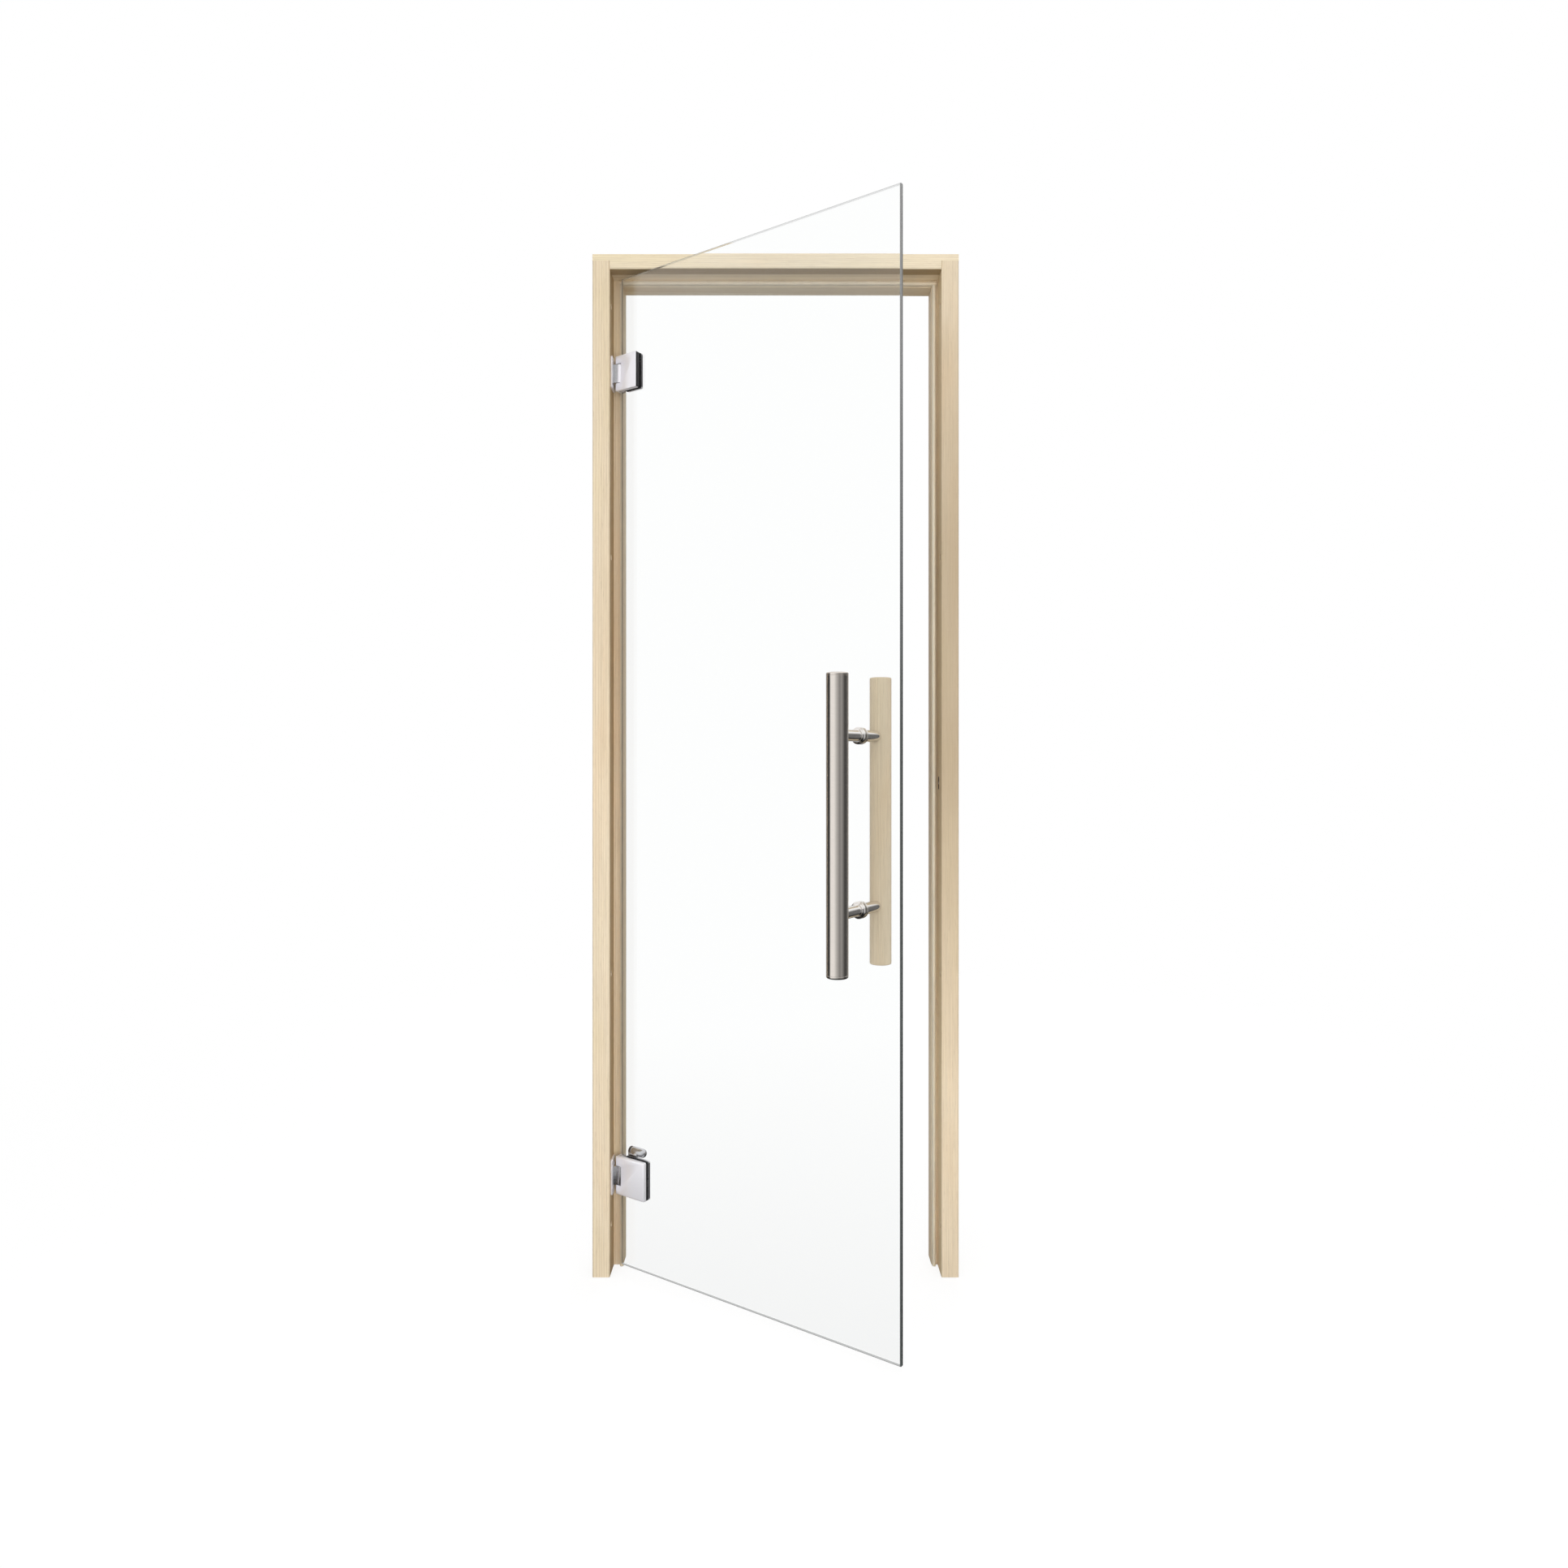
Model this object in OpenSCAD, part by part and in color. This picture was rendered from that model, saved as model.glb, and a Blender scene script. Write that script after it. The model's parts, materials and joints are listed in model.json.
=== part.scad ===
// Sauna door: a frameless clear glass leaf, hinged on the left in a three-sided softwood frame.
// Millimetres. X runs along the frame from the hinge side, Y into the wall, Z up. The origin is at the
// foot of the hinge jamb's outer side face, halfway through the frame's depth.

/* [Frame] */
// Overall width of the frame
frame_w = 680; // [600:10:980]
// Overall height of the frame
frame_h = 1900; // [1800:10:2200]
// Depth of the frame from front to back
frame_d = 90; // [80:1:120]
// Width of each jamb's front face
jamb_face = 32; // [28:1:45]
// Height of the head's front face
head_face = 28; // [24:1:45]
// Height of the head's tongue that laps over the tops of the jambs
head_lap = 13; // [10:1:18]
// Depth of the rebate that the leaf closes into
rebate_d = 50; // [48:1:60]
// Width of the stop behind the rebate, at the strike side and the head
stop_w = 12; // [10:1:20]
// Width of the stop on the hinge side, which also hides the gap behind the pins
hinge_stop_w = 20; // [19:1:24]
// Bevel on the timber's long arrises
arris = 1.5; // [0.5:0.5:2.5]

/* [Seals] */
// Width of the silicone seal on the stops
seal_w = 7; // [5:0.5:8]
// Thickness of the silicone seal
seal_t = 8; // [6:0.5:9]
// Distance from the seal to the stop's inner arris
seal_inset = 1; // [0.5:0.5:2]

/* [Frame fixings] */
// Radius of the frame's fixing holes
fixing_r = 3.2; // [2.5:0.1:4]
// Radius of the counterbore at each fixing hole
fixing_head_r = 6; // [5:0.5:8]
// Depth of the counterbore at each fixing hole
fixing_head_d = 10; // [4:1:14]
// Distance of the fixing holes from the front face
fixing_y = 18; // [12:1:24]
// Distance of the outer fixing holes from the frame's top and foot
fixing_outer = 90; // [70:5:110]
// Distance of the inner fixing holes from the frame's top and foot
fixing_inner = 560; // [400:10:700]
// Radius of the corner screws' shanks
corner_screw_r = 2.5; // [2:0.25:3.5]
// Radius of the corner screws' heads
corner_head_r = 5; // [4.5:0.25:6]
// Depth that the corner screws' heads taper over
corner_head_h = 3; // [2:0.5:4]
// Distance of the corner screws from the frame's front and back
corner_screw_y = 22; // [15:1:30]
// Length that the corner screws reach into the jambs
corner_screw_reach = 45; // [30:5:70]

/* [Leaf] */
// Thickness of the glass
glass_t = 8; // [6:1:8]
// Gap between the leaf's free edge and the strike jamb
strike_gap = 5.5; // [5.5:0.5:8]
// Gap between the leaf's top and the head
top_gap = 6; // [5.5:0.5:8]
// Gap below the leaf
bottom_gap = 10; // [6:1:20]
// Clearance between the closed leaf and the seals
seal_clear = 5; // [5:0.5:7]
// How far the leaf reaches past the pins towards the hinge jamb
leaf_past_pin = 1; // [0:0.5:3]
// Angle by which the leaf stands open
door_open = 34.5; // [0:0.5:90]

/* [Hinges] */
// Distance from the hinge jamb's rebate wall to the pins' axis
pin_gap = 16; // [15:0.5:18]
// Radius of the hinge pins
pin_r = 3; // [2.5:0.25:3.5]
// Radial clearance round the hinge pins
pin_fit = 0.05; // [0.02:0.01:0.1]
// Bevel at the pins' ends
pin_bevel = 0.75; // [0.25:0.25:1]
// Half the width of the door lugs, which is also the pin's depth behind the plate's face
lug_half = 7; // [6.5:0.25:8]
// Rounding of the lugs and the plates' front edges
lug_round = 3; // [1.5:0.25:3]
// Radius of the frame knuckle
knuckle_r = 6.5; // [5.5:0.25:7]
// Height of the frame knuckle
knuckle_h = 34; // [28:1:38]
// Clearance between the frame knuckle and the notch round it
knuckle_clear = 1; // [0.75:0.25:1.5]
// Radius of the washers between knuckle and lugs
washer_r = 6; // [5:0.25:6.5]
// Thickness of the washers between knuckle and lugs
washer_t = 1; // [0.5:0.25:1.5]
// Running gap between each washer and its lug
washer_gap = 0.3; // [0.2:0.1:0.5]
// Height of the upper hinge's plates
upper_hinge_h = 66; // [60:1:80]
// Height of the lower hinge's plates
lower_hinge_h = 72; // [66:1:84]
// Length of the upper hinge's plates from the pin
upper_plate_l = 46; // [42:1:60]
// Length of the lower hinge's plates from the pin
lower_plate_l = 64; // [58:1:76]
// Distance from the leaf's top to the middle of the upper hinge
upper_hinge_drop = 180; // [140:5:240]
// Distance from the leaf's foot to the middle of the lower hinge
lower_hinge_rise = 170; // [140:5:240]
// Thickness of the outer clamp plates
outer_plate_t = 7; // [6:0.5:8]
// Thickness of the inner clamp plates
inner_plate_t = 5; // [4:0.5:6]
// Thickness of the gaskets between plates and glass
gasket_t = 1.5; // [1:0.25:2]
// Rounding of the plates' face corners
plate_corner = 3; // [2:0.5:5]
// Gap between the lugs and the glass in the leaf's notch
notch_clear = 1.5; // [1:0.5:3]
// Thickness of the brackets on the hinge jamb
bracket_t = 3; // [2.5:0.25:4]
// Width of the brackets on the hinge jamb
bracket_w = 32; // [30:1:36]
// Height by which a bracket is shorter than its plates
bracket_short = 6; // [4:1:10]
// Thickness of the web that carries the frame knuckle
web_t = 9; // [7:0.5:11]
// Radius of the bracket screws' shanks
bracket_screw_r = 2; // [1.5:0.25:2.5]
// Radius of the bracket screws' heads
bracket_head_r = 3.8; // [3.5:0.1:4.2]
// Height that the bracket screws' heads taper over
bracket_head_h = 2; // [1.5:0.25:2.25]
// Length that the bracket screws reach into the jamb
bracket_screw_reach = 22; // [16:1:26]
// Distance of the bracket screws from the bracket's ends
bracket_screw_end = 8; // [7:0.5:9]
// Distance of the bracket screws from the pin's plane
bracket_screw_side = 10.5; // [10:0.25:11]
// Radius of the clamp screws' shanks
clamp_screw_r = 3; // [2.5:0.25:3.5]
// Radius of the clamp screws' heads
clamp_head_r = 5.5; // [5:0.25:6.5]
// Height that the clamp screws' heads taper over
clamp_head_h = 3; // [2.5:0.25:3.5]
// Radius of the glass holes for the clamp screws
clamp_hole_r = 7; // [5:0.5:8]
// Distance of the clamp screws from the plates' top and bottom edges
clamp_screw_end = 16; // [13:1:20]
// Radius of the closer barrel on the lower hinge
closer_r = 8; // [6:0.5:9]
// Length of the closer barrel
closer_l = 38; // [30:1:44]

/* [Pull handle] */
// Length of the pull bars
bar_l = 475; // [360:5:600]
// Height of the pull bars' middle above the foot
bar_z = 860; // [800:5:1000]
// Distance from the leaf's free edge to the bars' axis
bar_inset = 76.5; // [60:0.5:110]
// Distance from the glass's middle to each bar's axis
bar_reach = 70; // [60:1:80]
// Radius of the outer steel bar
outer_bar_r = 17.5; // [12:0.5:18]
// Wall of the outer steel bar
outer_bar_wall = 2; // [1.5:0.25:3]
// Radius of the inner wooden bar
inner_bar_r = 18; // [14:0.5:20]
// Rounding of the bars' ends
bar_round = 2.5; // [1:0.5:4]
// Thickness of the steel bar's end caps
cap_t = 5; // [4:0.5:8]
// Distance between the two standoffs
standoff_spacing = 280; // [200:5:340]
// Radius of the standoffs
standoff_r = 9.5; // [8:0.5:10]
// Depth that each standoff sinks into the wooden bar
standoff_seat = 4; // [2:0.5:6]
// Radius of the rosettes at the glass
rosette_r = 14; // [13:0.5:17]
// Thickness of the rosettes at the glass
rosette_t = 7; // [5:0.5:9]
// Thickness of each rosette's rim
rosette_rim_t = 3.5; // [2.5:0.5:4.5]
// Step from the standoff out to each rosette's collar
rosette_step = 2; // [1:0.5:3]
// Rounding of the rosettes' edges
rosette_round = 1; // [0.5:0.25:1.25]
// Radius of the studs through the glass
stud_r = 4; // [3:0.25:4.5]
// Radius of the glass holes for the studs
stud_hole_r = 7; // [5:0.5:8]
// Length that the studs reach into each standoff
stud_reach = 14; // [10:1:18]

/* [Strike catch] */
// Height of the catch's middle above the foot
catch_z = 917; // [860:5:960]
// Height of the catch
catch_h = 24; // [16:1:36]
// Width of the catch
catch_w = 12; // [8:1:14]
// Depth that the catch is let into the jamb
catch_d = 9; // [6:1:14]

/* [Hidden] */
$fn = 64;

WOOD = "#e6d5b8";
SILICONE = "#e9e6df";
CHROME = "#dcdce2";
STEEL = "#a39c95";
BLACK = "#26262a";
CLEAR = "#bcd4d0";

// Cuts run past the faces they open by this much
over = 1;
// A screw or stud lies in its hole with this much air round it
seat = 0.05;

// Timber
jamb_h = frame_h - head_lap;
head_soffit_z = frame_h - head_face;
head_stop_z = head_soffit_z - stop_w;
strike_x = frame_w - jamb_face;

// Seals
hinge_seal_x = jamb_face + hinge_stop_w - seal_inset - seal_w;
strike_seal_x = strike_x - stop_w + seal_inset;
head_seal_z = head_stop_z + seal_inset;
seal_face_y = rebate_d - seal_t;

// Leaf, in the closed pose and measured from the pins
pin_x = jamb_face + pin_gap;
glass_y = outer_plate_t + gasket_t - lug_half;
glass_back_y = glass_y + glass_t;
glass_mid_y = glass_y + glass_t / 2;
inner_plate_y = glass_back_y + gasket_t;
inner_face_y = inner_plate_y + inner_plate_t;
pin_y = seal_face_y - seal_clear - glass_back_y;
leaf_x0 = -leaf_past_pin;
leaf_x1 = strike_x - strike_gap - pin_x;
leaf_z0 = bottom_gap;
leaf_z1 = head_soffit_z - top_gap;

// Hinges
upper_z = leaf_z1 - upper_hinge_drop;
lower_z = leaf_z0 + lower_hinge_rise;
clamp_x0 = lug_half + notch_clear;
notch_half_h = knuckle_h / 2 + washer_t + washer_gap;

// Handle
bar_x = leaf_x1 - bar_inset;
outer_bar_y = glass_mid_y - bar_reach;
inner_bar_y = glass_mid_y + bar_reach;
standoff_zs = [bar_z - standoff_spacing / 2, bar_z + standoff_spacing / 2];

fixing_zs = [fixing_outer, fixing_inner, frame_h - fixing_inner, frame_h - fixing_outer];
corner_ys = [corner_screw_y, frame_d - corner_screw_y];

// Places what belongs to the frame, which is drawn with Y measured from its front face
module framed() {
    translate([0, -frame_d / 2, 0]) children();
}

// Places what turns with the leaf: its own X runs along the leaf from the pin, its Y into the room
module swing() {
    framed() translate([pin_x, pin_y, 0]) rotate([0, 0, -door_open]) children();
}

// A flat rectangle with its four corners rounded
module rounded_square(x0, x1, y0, y1, r) {
    translate([x0 + r, y0]) square([x1 - x0 - 2 * r, y1 - y0]);
    translate([x0, y0 + r]) square([x1 - x0, y1 - y0 - 2 * r]);
    for (x = [x0 + r, x1 - r], y = [y0 + r, y1 - r]) translate([x, y]) circle(r = r);
}

// Half the outline of a disc or bar with rounded rims, to be turned about the Z axis
module round_rimmed(r, z0, z1, rim) {
    translate([0, z0]) square([r - rim, z1 - z0]);
    translate([0, z0 + rim]) square([r, z1 - z0 - 2 * rim]);
    for (z = [z0 + rim, z1 - rim]) translate([r - rim, z]) circle(r = rim);
}

// A countersunk screw along +X with the top of its head at X = 0, or with air round it the hole for one
module countersunk_screw(shank_r, head_r, head_h, length, air = 0) {
    rotate([0, 90, 0]) {
        cylinder(h = length + air, r = shank_r + air);
        cylinder(h = head_h, r1 = head_r + air, r2 = shank_r + air);
        if (air > 0) translate([0, 0, -over]) cylinder(h = over, r = head_r + air);
    }
}

// Plan of a jamb whose outer side lies at X = 0 and whose stop points to +X
module jamb_plan(stop) {
    inner = jamb_face + stop;
    polygon([
        [0, arris], [arris, 0], [jamb_face - arris, 0], [jamb_face, arris],
        [jamb_face, rebate_d], [inner - arris, rebate_d], [inner, rebate_d + arris],
        [inner, frame_d - arris], [inner - arris, frame_d], [arris, frame_d], [0, frame_d - arris]
    ]);
}

// The holes of one jamb, with the jamb's outer side at X = 0
module jamb_holes() {
    for (z = fixing_zs) translate([0, fixing_y, z]) rotate([0, 90, 0]) {
        translate([0, 0, -over]) cylinder(h = jamb_face + 2 * over, r = fixing_r);
        translate([0, 0, jamb_face - fixing_head_d]) cylinder(h = fixing_head_d + over, r = fixing_head_r);
    }
    for (y = corner_ys) translate([jamb_face / 2, y, jamb_h - corner_screw_reach - seat])
        cylinder(h = corner_screw_reach + over, r = corner_screw_r + seat);
}

module hinge_jamb() {
    color(WOOD) framed() difference() {
        linear_extrude(jamb_h) jamb_plan(hinge_stop_w);
        jamb_holes();
        bracket_screw_set(upper_z, upper_hinge_h, seat);
        bracket_screw_set(lower_z, lower_hinge_h, seat);
    }
}

module strike_jamb() {
    color(WOOD) framed() difference() {
        translate([frame_w, 0, 0]) mirror([1, 0, 0]) difference() {
            linear_extrude(jamb_h) jamb_plan(stop_w);
            jamb_holes();
        }
        catch_body(over);
    }
}

module head_rail() {
    color(WOOD) framed() difference() {
        union() {
            translate([0, 0, jamb_h]) rotate([90, 0, 90]) linear_extrude(frame_w) polygon([
                [0, 0], [frame_d, 0], [frame_d, head_lap - arris], [frame_d - arris, head_lap],
                [arris, head_lap], [0, head_lap - arris]
            ]);
            translate([jamb_face, 0, 0]) rotate([90, 0, 90]) linear_extrude(strike_x - jamb_face) polygon([
                [0, jamb_h], [0, head_soffit_z + arris], [arris, head_soffit_z],
                [rebate_d, head_soffit_z], [rebate_d, jamb_h]
            ]);
            translate([jamb_face + hinge_stop_w, 0, 0]) rotate([90, 0, 90])
                linear_extrude(strike_x - stop_w - jamb_face - hinge_stop_w) polygon([
                    [rebate_d, jamb_h], [rebate_d, head_stop_z + arris], [rebate_d + arris, head_stop_z],
                    [frame_d - arris, head_stop_z], [frame_d, head_stop_z + arris], [frame_d, jamb_h]
                ]);
        }
        for (x = [jamb_face / 2, frame_w - jamb_face / 2]) corner_screw_set(x, seat);
    }
}

// The two screws that hold one corner, driven down through the head
module corner_screw_set(x, air = 0) {
    for (y = corner_ys) translate([x, y, frame_h]) rotate([0, 90, 0])
        countersunk_screw(corner_screw_r, corner_head_r, corner_head_h, head_lap + corner_screw_reach, air);
}

module hinge_corner_screws() { color(STEEL) framed() corner_screw_set(jamb_face / 2); }

module strike_corner_screws() { color(STEEL) framed() corner_screw_set(frame_w - jamb_face / 2); }

// Section of the seal: a foot on the stop, with a rounded nose towards the leaf at -Y
module seal_section() {
    translate([0, seal_w / 2 - seal_t]) square([seal_w, seal_t - seal_w / 2]);
    translate([seal_w / 2, seal_w / 2 - seal_t]) circle(d = seal_w);
}

module hinge_side_seal() {
    color(SILICONE) framed() translate([hinge_seal_x, rebate_d, 0]) linear_extrude(head_seal_z) seal_section();
}

module strike_side_seal() {
    color(SILICONE) framed() translate([strike_seal_x, rebate_d, 0]) linear_extrude(head_seal_z) seal_section();
}

module head_seal() {
    color(SILICONE) framed() translate([hinge_seal_x, rebate_d, head_seal_z]) rotate([90, 0, 90])
        linear_extrude(strike_seal_x + seal_w - hinge_seal_x) mirror([1, -1, 0]) seal_section();
}

// The catch, let into the strike jamb's rebate wall just in front of the stop
module catch_body(past = 0) {
    translate([strike_x - past, seal_face_y - catch_w, catch_z - catch_h / 2]) cube([catch_d + past, catch_w, catch_h]);
}

module strike_catch() { color(BLACK) framed() catch_body(); }

// A hinge bracket: a plate on the rebate wall, with a knuckle round the pin carried on a web
module hinge_bracket(z, h) {
    color(CHROME) framed() difference() {
        union() {
            translate([jamb_face, pin_y, z]) rotate([90, 0, 90]) linear_extrude(bracket_t)
                rounded_square(-bracket_w / 2, bracket_w / 2, (bracket_short - h) / 2, (h - bracket_short) / 2, plate_corner);
            translate([jamb_face, pin_y - web_t / 2, z - knuckle_h / 2]) cube([pin_gap, web_t, knuckle_h]);
            translate([pin_x, pin_y, z - knuckle_h / 2]) cylinder(h = knuckle_h, r = knuckle_r);
        }
        translate([pin_x, pin_y, z - h / 2]) cylinder(h = h, r = pin_r + pin_fit);
        bracket_screw_set(z, h, seat);
    }
}

module bracket_screw_set(z, h, air = 0) {
    end_z = (h - bracket_short) / 2 - bracket_screw_end;
    for (y = [-bracket_screw_side, bracket_screw_side], dz = [-end_z, end_z])
        translate([jamb_face + bracket_t, pin_y + y, z + dz]) mirror([1, 0, 0])
            countersunk_screw(bracket_screw_r, bracket_head_r, bracket_head_h, bracket_t + bracket_screw_reach, air);
}

// Washers above and below the frame knuckle
module hinge_washers(z) {
    color(SILICONE) framed() for (dz = [-knuckle_h / 2 - washer_t, knuckle_h / 2]) translate([pin_x, pin_y, z + dz]) difference() {
        cylinder(h = washer_t, r = washer_r);
        translate([0, 0, -over]) cylinder(h = washer_t + 2 * over, r = pin_r + pin_fit);
    }
}

// The pin, flush with the lugs and bevelled at both ends
module hinge_pin(z, h) {
    color(STEEL) framed() translate([pin_x, pin_y, z]) rotate_extrude() polygon([
        [0, -h / 2], [pin_r - pin_bevel, -h / 2], [pin_r, pin_bevel - h / 2],
        [pin_r, h / 2 - pin_bevel], [pin_r - pin_bevel, h / 2], [0, h / 2]
    ]);
}

module upper_hinge_bracket() { hinge_bracket(upper_z, upper_hinge_h); }

module lower_hinge_bracket() { hinge_bracket(lower_z, lower_hinge_h); }

module upper_bracket_screws() { color(STEEL) framed() bracket_screw_set(upper_z, upper_hinge_h); }

module lower_bracket_screws() { color(STEEL) framed() bracket_screw_set(lower_z, lower_hinge_h); }

module upper_hinge_washers() { hinge_washers(upper_z); }

module lower_hinge_washers() { hinge_washers(lower_z); }

module upper_hinge_pin() { hinge_pin(upper_z, upper_hinge_h); }

module lower_hinge_pin() { hinge_pin(lower_z, lower_hinge_h); }

// The glass, notched round the lugs and drilled for the clamp screws and the handle's studs
module glass_leaf() {
    color(CLEAR, 0.35) swing() difference() {
        translate([leaf_x0, glass_y, leaf_z0]) cube([leaf_x1 - leaf_x0, glass_t, leaf_z1 - leaf_z0]);
        glass_cut(upper_z, upper_hinge_h, upper_plate_l);
        glass_cut(lower_z, lower_hinge_h, lower_plate_l);
        for (z = standoff_zs) through_glass(bar_x, z, stud_hole_r);
    }
}

module through_glass(x, z, r) {
    translate([x, glass_back_y + over, z]) rotate([90, 0, 0]) cylinder(h = glass_t + 2 * over, r = r);
}

module glass_cut(z, h, plate_l) {
    translate([leaf_x0 - over, glass_y - over, z - h / 2 - notch_clear])
        cube([clamp_x0 - leaf_x0 + over, glass_t + 2 * over, h + 2 * notch_clear]);
    for (dz = clamp_offsets(h)) through_glass(clamp_x(plate_l), z + dz, clamp_hole_r);
}

function clamp_x(plate_l) = (clamp_x0 + plate_l) / 2;

function clamp_offsets(h) = [clamp_screw_end - h / 2, h / 2 - clamp_screw_end];

// Face outline of a clamp plate, drawn in X and Z and given the depth from y0 to y1
module plate_face(x0, plate_l, h, y0, y1) {
    translate([0, y1, 0]) rotate([90, 0, 0]) linear_extrude(y1 - y0)
        rounded_square(x0, plate_l, -h / 2, h / 2, plate_corner);
}

// The outer clamp plate with the two lugs that turn on the pin
module outer_plate(z, h, plate_l) {
    color(CHROME) swing() translate([0, 0, z]) difference() {
        union() {
            intersection() {
                plate_face(-lug_half, plate_l, h, -lug_half, outer_plate_t - lug_half);
                translate([0, 0, -h / 2]) linear_extrude(h) {
                    rounded_square(-lug_half, plate_l, -lug_half, outer_plate_t - lug_half, lug_round);
                    translate([-lug_half, outer_plate_t - lug_half - lug_round])
                        square([plate_l + lug_half, lug_round]);
                }
            }
            intersection() {
                plate_face(-lug_half, lug_half + plate_corner, h, -lug_half, lug_half);
                translate([0, 0, -h / 2]) linear_extrude(h)
                    rounded_square(-lug_half, lug_half, -lug_half, lug_half, lug_round);
            }
        }
        translate([-lug_half - over, -lug_half - over, -notch_half_h])
            cube([lug_half + over + knuckle_r + knuckle_clear, 2 * (lug_half + over), 2 * notch_half_h]);
        translate([0, 0, -h / 2 - over]) cylinder(h = h + 2 * over, r = pin_r + pin_fit);
        clamp_screw_set(h, plate_l, seat);
    }
}

// The clamp screws, driven from the inner plate into the outer one
module clamp_screw_set(h, plate_l, air = 0) {
    for (dz = clamp_offsets(h)) translate([clamp_x(plate_l), inner_face_y, dz]) rotate([0, 0, -90])
        countersunk_screw(clamp_screw_r, clamp_head_r, clamp_head_h, inner_face_y + lug_half - outer_plate_t / 2, air);
}

module inner_plate(z, h, plate_l) {
    color(CHROME) swing() translate([0, 0, z]) difference() {
        plate_face(clamp_x0, plate_l, h, inner_plate_y, inner_face_y);
        clamp_screw_set(h, plate_l, seat);
    }
}

module gasket(z, h, plate_l, y0) {
    color(BLACK) swing() translate([0, 0, z]) difference() {
        plate_face(clamp_x0, plate_l, h, y0, y0 + gasket_t);
        clamp_screw_set(h, plate_l, seat);
    }
}

module upper_outer_plate() { outer_plate(upper_z, upper_hinge_h, upper_plate_l); }

module lower_outer_plate() { outer_plate(lower_z, lower_hinge_h, lower_plate_l); }

module upper_outer_gasket() { gasket(upper_z, upper_hinge_h, upper_plate_l, glass_y - gasket_t); }

module lower_outer_gasket() { gasket(lower_z, lower_hinge_h, lower_plate_l, glass_y - gasket_t); }

module upper_inner_gasket() { gasket(upper_z, upper_hinge_h, upper_plate_l, glass_back_y); }

module lower_inner_gasket() { gasket(lower_z, lower_hinge_h, lower_plate_l, glass_back_y); }

module upper_inner_plate() { inner_plate(upper_z, upper_hinge_h, upper_plate_l); }

module lower_inner_plate() { inner_plate(lower_z, lower_hinge_h, lower_plate_l); }

module upper_clamp_screws() {
    color(STEEL) swing() translate([0, 0, upper_z]) clamp_screw_set(upper_hinge_h, upper_plate_l);
}

module lower_clamp_screws() {
    color(STEEL) swing() translate([0, 0, lower_z]) clamp_screw_set(lower_hinge_h, lower_plate_l);
}

// The closer's barrel lies along the top of the lower inner plate on a short foot
module lower_closer_barrel() {
    top_z = lower_z + lower_hinge_h / 2;
    axis_y = inner_plate_y + closer_r;
    axis_z = top_z + closer_r;
    foot_l = closer_l - 2 * closer_r;
    color(CHROME) swing() difference() {
        union() {
            translate([clamp_x0 + plate_corner, axis_y, axis_z]) rotate([0, 90, 0]) {
                cylinder(h = closer_l - closer_r, r = closer_r);
                translate([0, 0, closer_l - closer_r]) sphere(r = closer_r);
            }
            translate([clamp_x0 + plate_corner, inner_plate_y, top_z]) cube([foot_l, inner_plate_t, closer_r]);
        }
        translate([clamp_x0 + plate_corner - over, axis_y, axis_z]) rotate([0, 90, 0])
            cylinder(h = closer_r + over, r = closer_r / 2, $fn = 6);
    }
}

// The steel tube of the outer pull
module outer_pull_bar() {
    color(STEEL) swing() translate([bar_x, outer_bar_y, bar_z]) difference() {
        translate([0, 0, cap_t - bar_l / 2]) cylinder(h = bar_l - 2 * cap_t, r = outer_bar_r);
        translate([0, 0, -bar_l / 2]) cylinder(h = bar_l, r = outer_bar_r - outer_bar_wall);
    }
}

// An end cap: a spigot inside the tube and a disc with a rounded rim
module bar_cap(side) {
    color(STEEL) swing() translate([bar_x, outer_bar_y, bar_z]) mirror([0, 0, side])
        translate([0, 0, bar_l / 2 - cap_t]) rotate_extrude() {
            translate([0, -cap_t]) square([outer_bar_r - outer_bar_wall - seat, cap_t]);
            square([outer_bar_r, cap_t - bar_round]);
            square([outer_bar_r - bar_round, cap_t]);
            translate([outer_bar_r - bar_round, cap_t - bar_round]) circle(r = bar_round);
        }
}

module outer_bar_top_cap() { bar_cap(0); }

module outer_bar_bottom_cap() { bar_cap(1); }

// The wooden bar of the inner pull, with a flat-bottomed seat for each standoff
module inner_pull_bar() {
    color(WOOD) swing() translate([bar_x, inner_bar_y, bar_z]) difference() {
        rotate_extrude() round_rimmed(inner_bar_r, -bar_l / 2, bar_l / 2, bar_round);
        for (z = standoff_zs) translate([0, standoff_seat - inner_bar_r, z - bar_z]) rotate([90, 0, 0])
            cylinder(h = inner_bar_r, r = standoff_r + seat);
    }
}

// A collar against the glass, turned with a rim and a step; it points to +Y from Y = 0
module rosette_body() {
    difference() {
        rotate([-90, 0, 0]) rotate_extrude() {
            round_rimmed(rosette_r, 0, rosette_rim_t, rosette_round);
            round_rimmed(standoff_r + rosette_step, 0, rosette_t, rosette_round);
        }
        stud_hole();
    }
}

module stud_hole() {
    translate([0, -over, 0]) rotate([-90, 0, 0]) cylinder(h = rosette_t + stud_reach + seat + over, r = stud_r + seat);
}

// Places a handle piece on the outer (0) or inner (1) face of the glass at a standoff's height
module on_glass(inner, z) {
    swing() translate([bar_x, inner == 1 ? glass_back_y : glass_y, z]) mirror([0, 1 - inner, 0]) children();
}

module rosette(inner, z) { color(STEEL) on_glass(inner, z) rosette_body(); }

// The outer standoff ends in a saddle round the tube, the inner one in the bar's seat
module outer_standoff(z) {
    length = bar_reach - glass_t / 2;
    color(STEEL) on_glass(0, z) difference() {
        translate([0, rosette_t, 0]) rotate([-90, 0, 0]) cylinder(h = length - rosette_t, r = standoff_r);
        stud_hole();
        translate([0, length, -standoff_r - over]) cylinder(h = 2 * (standoff_r + over), r = outer_bar_r + seat);
    }
}

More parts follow.
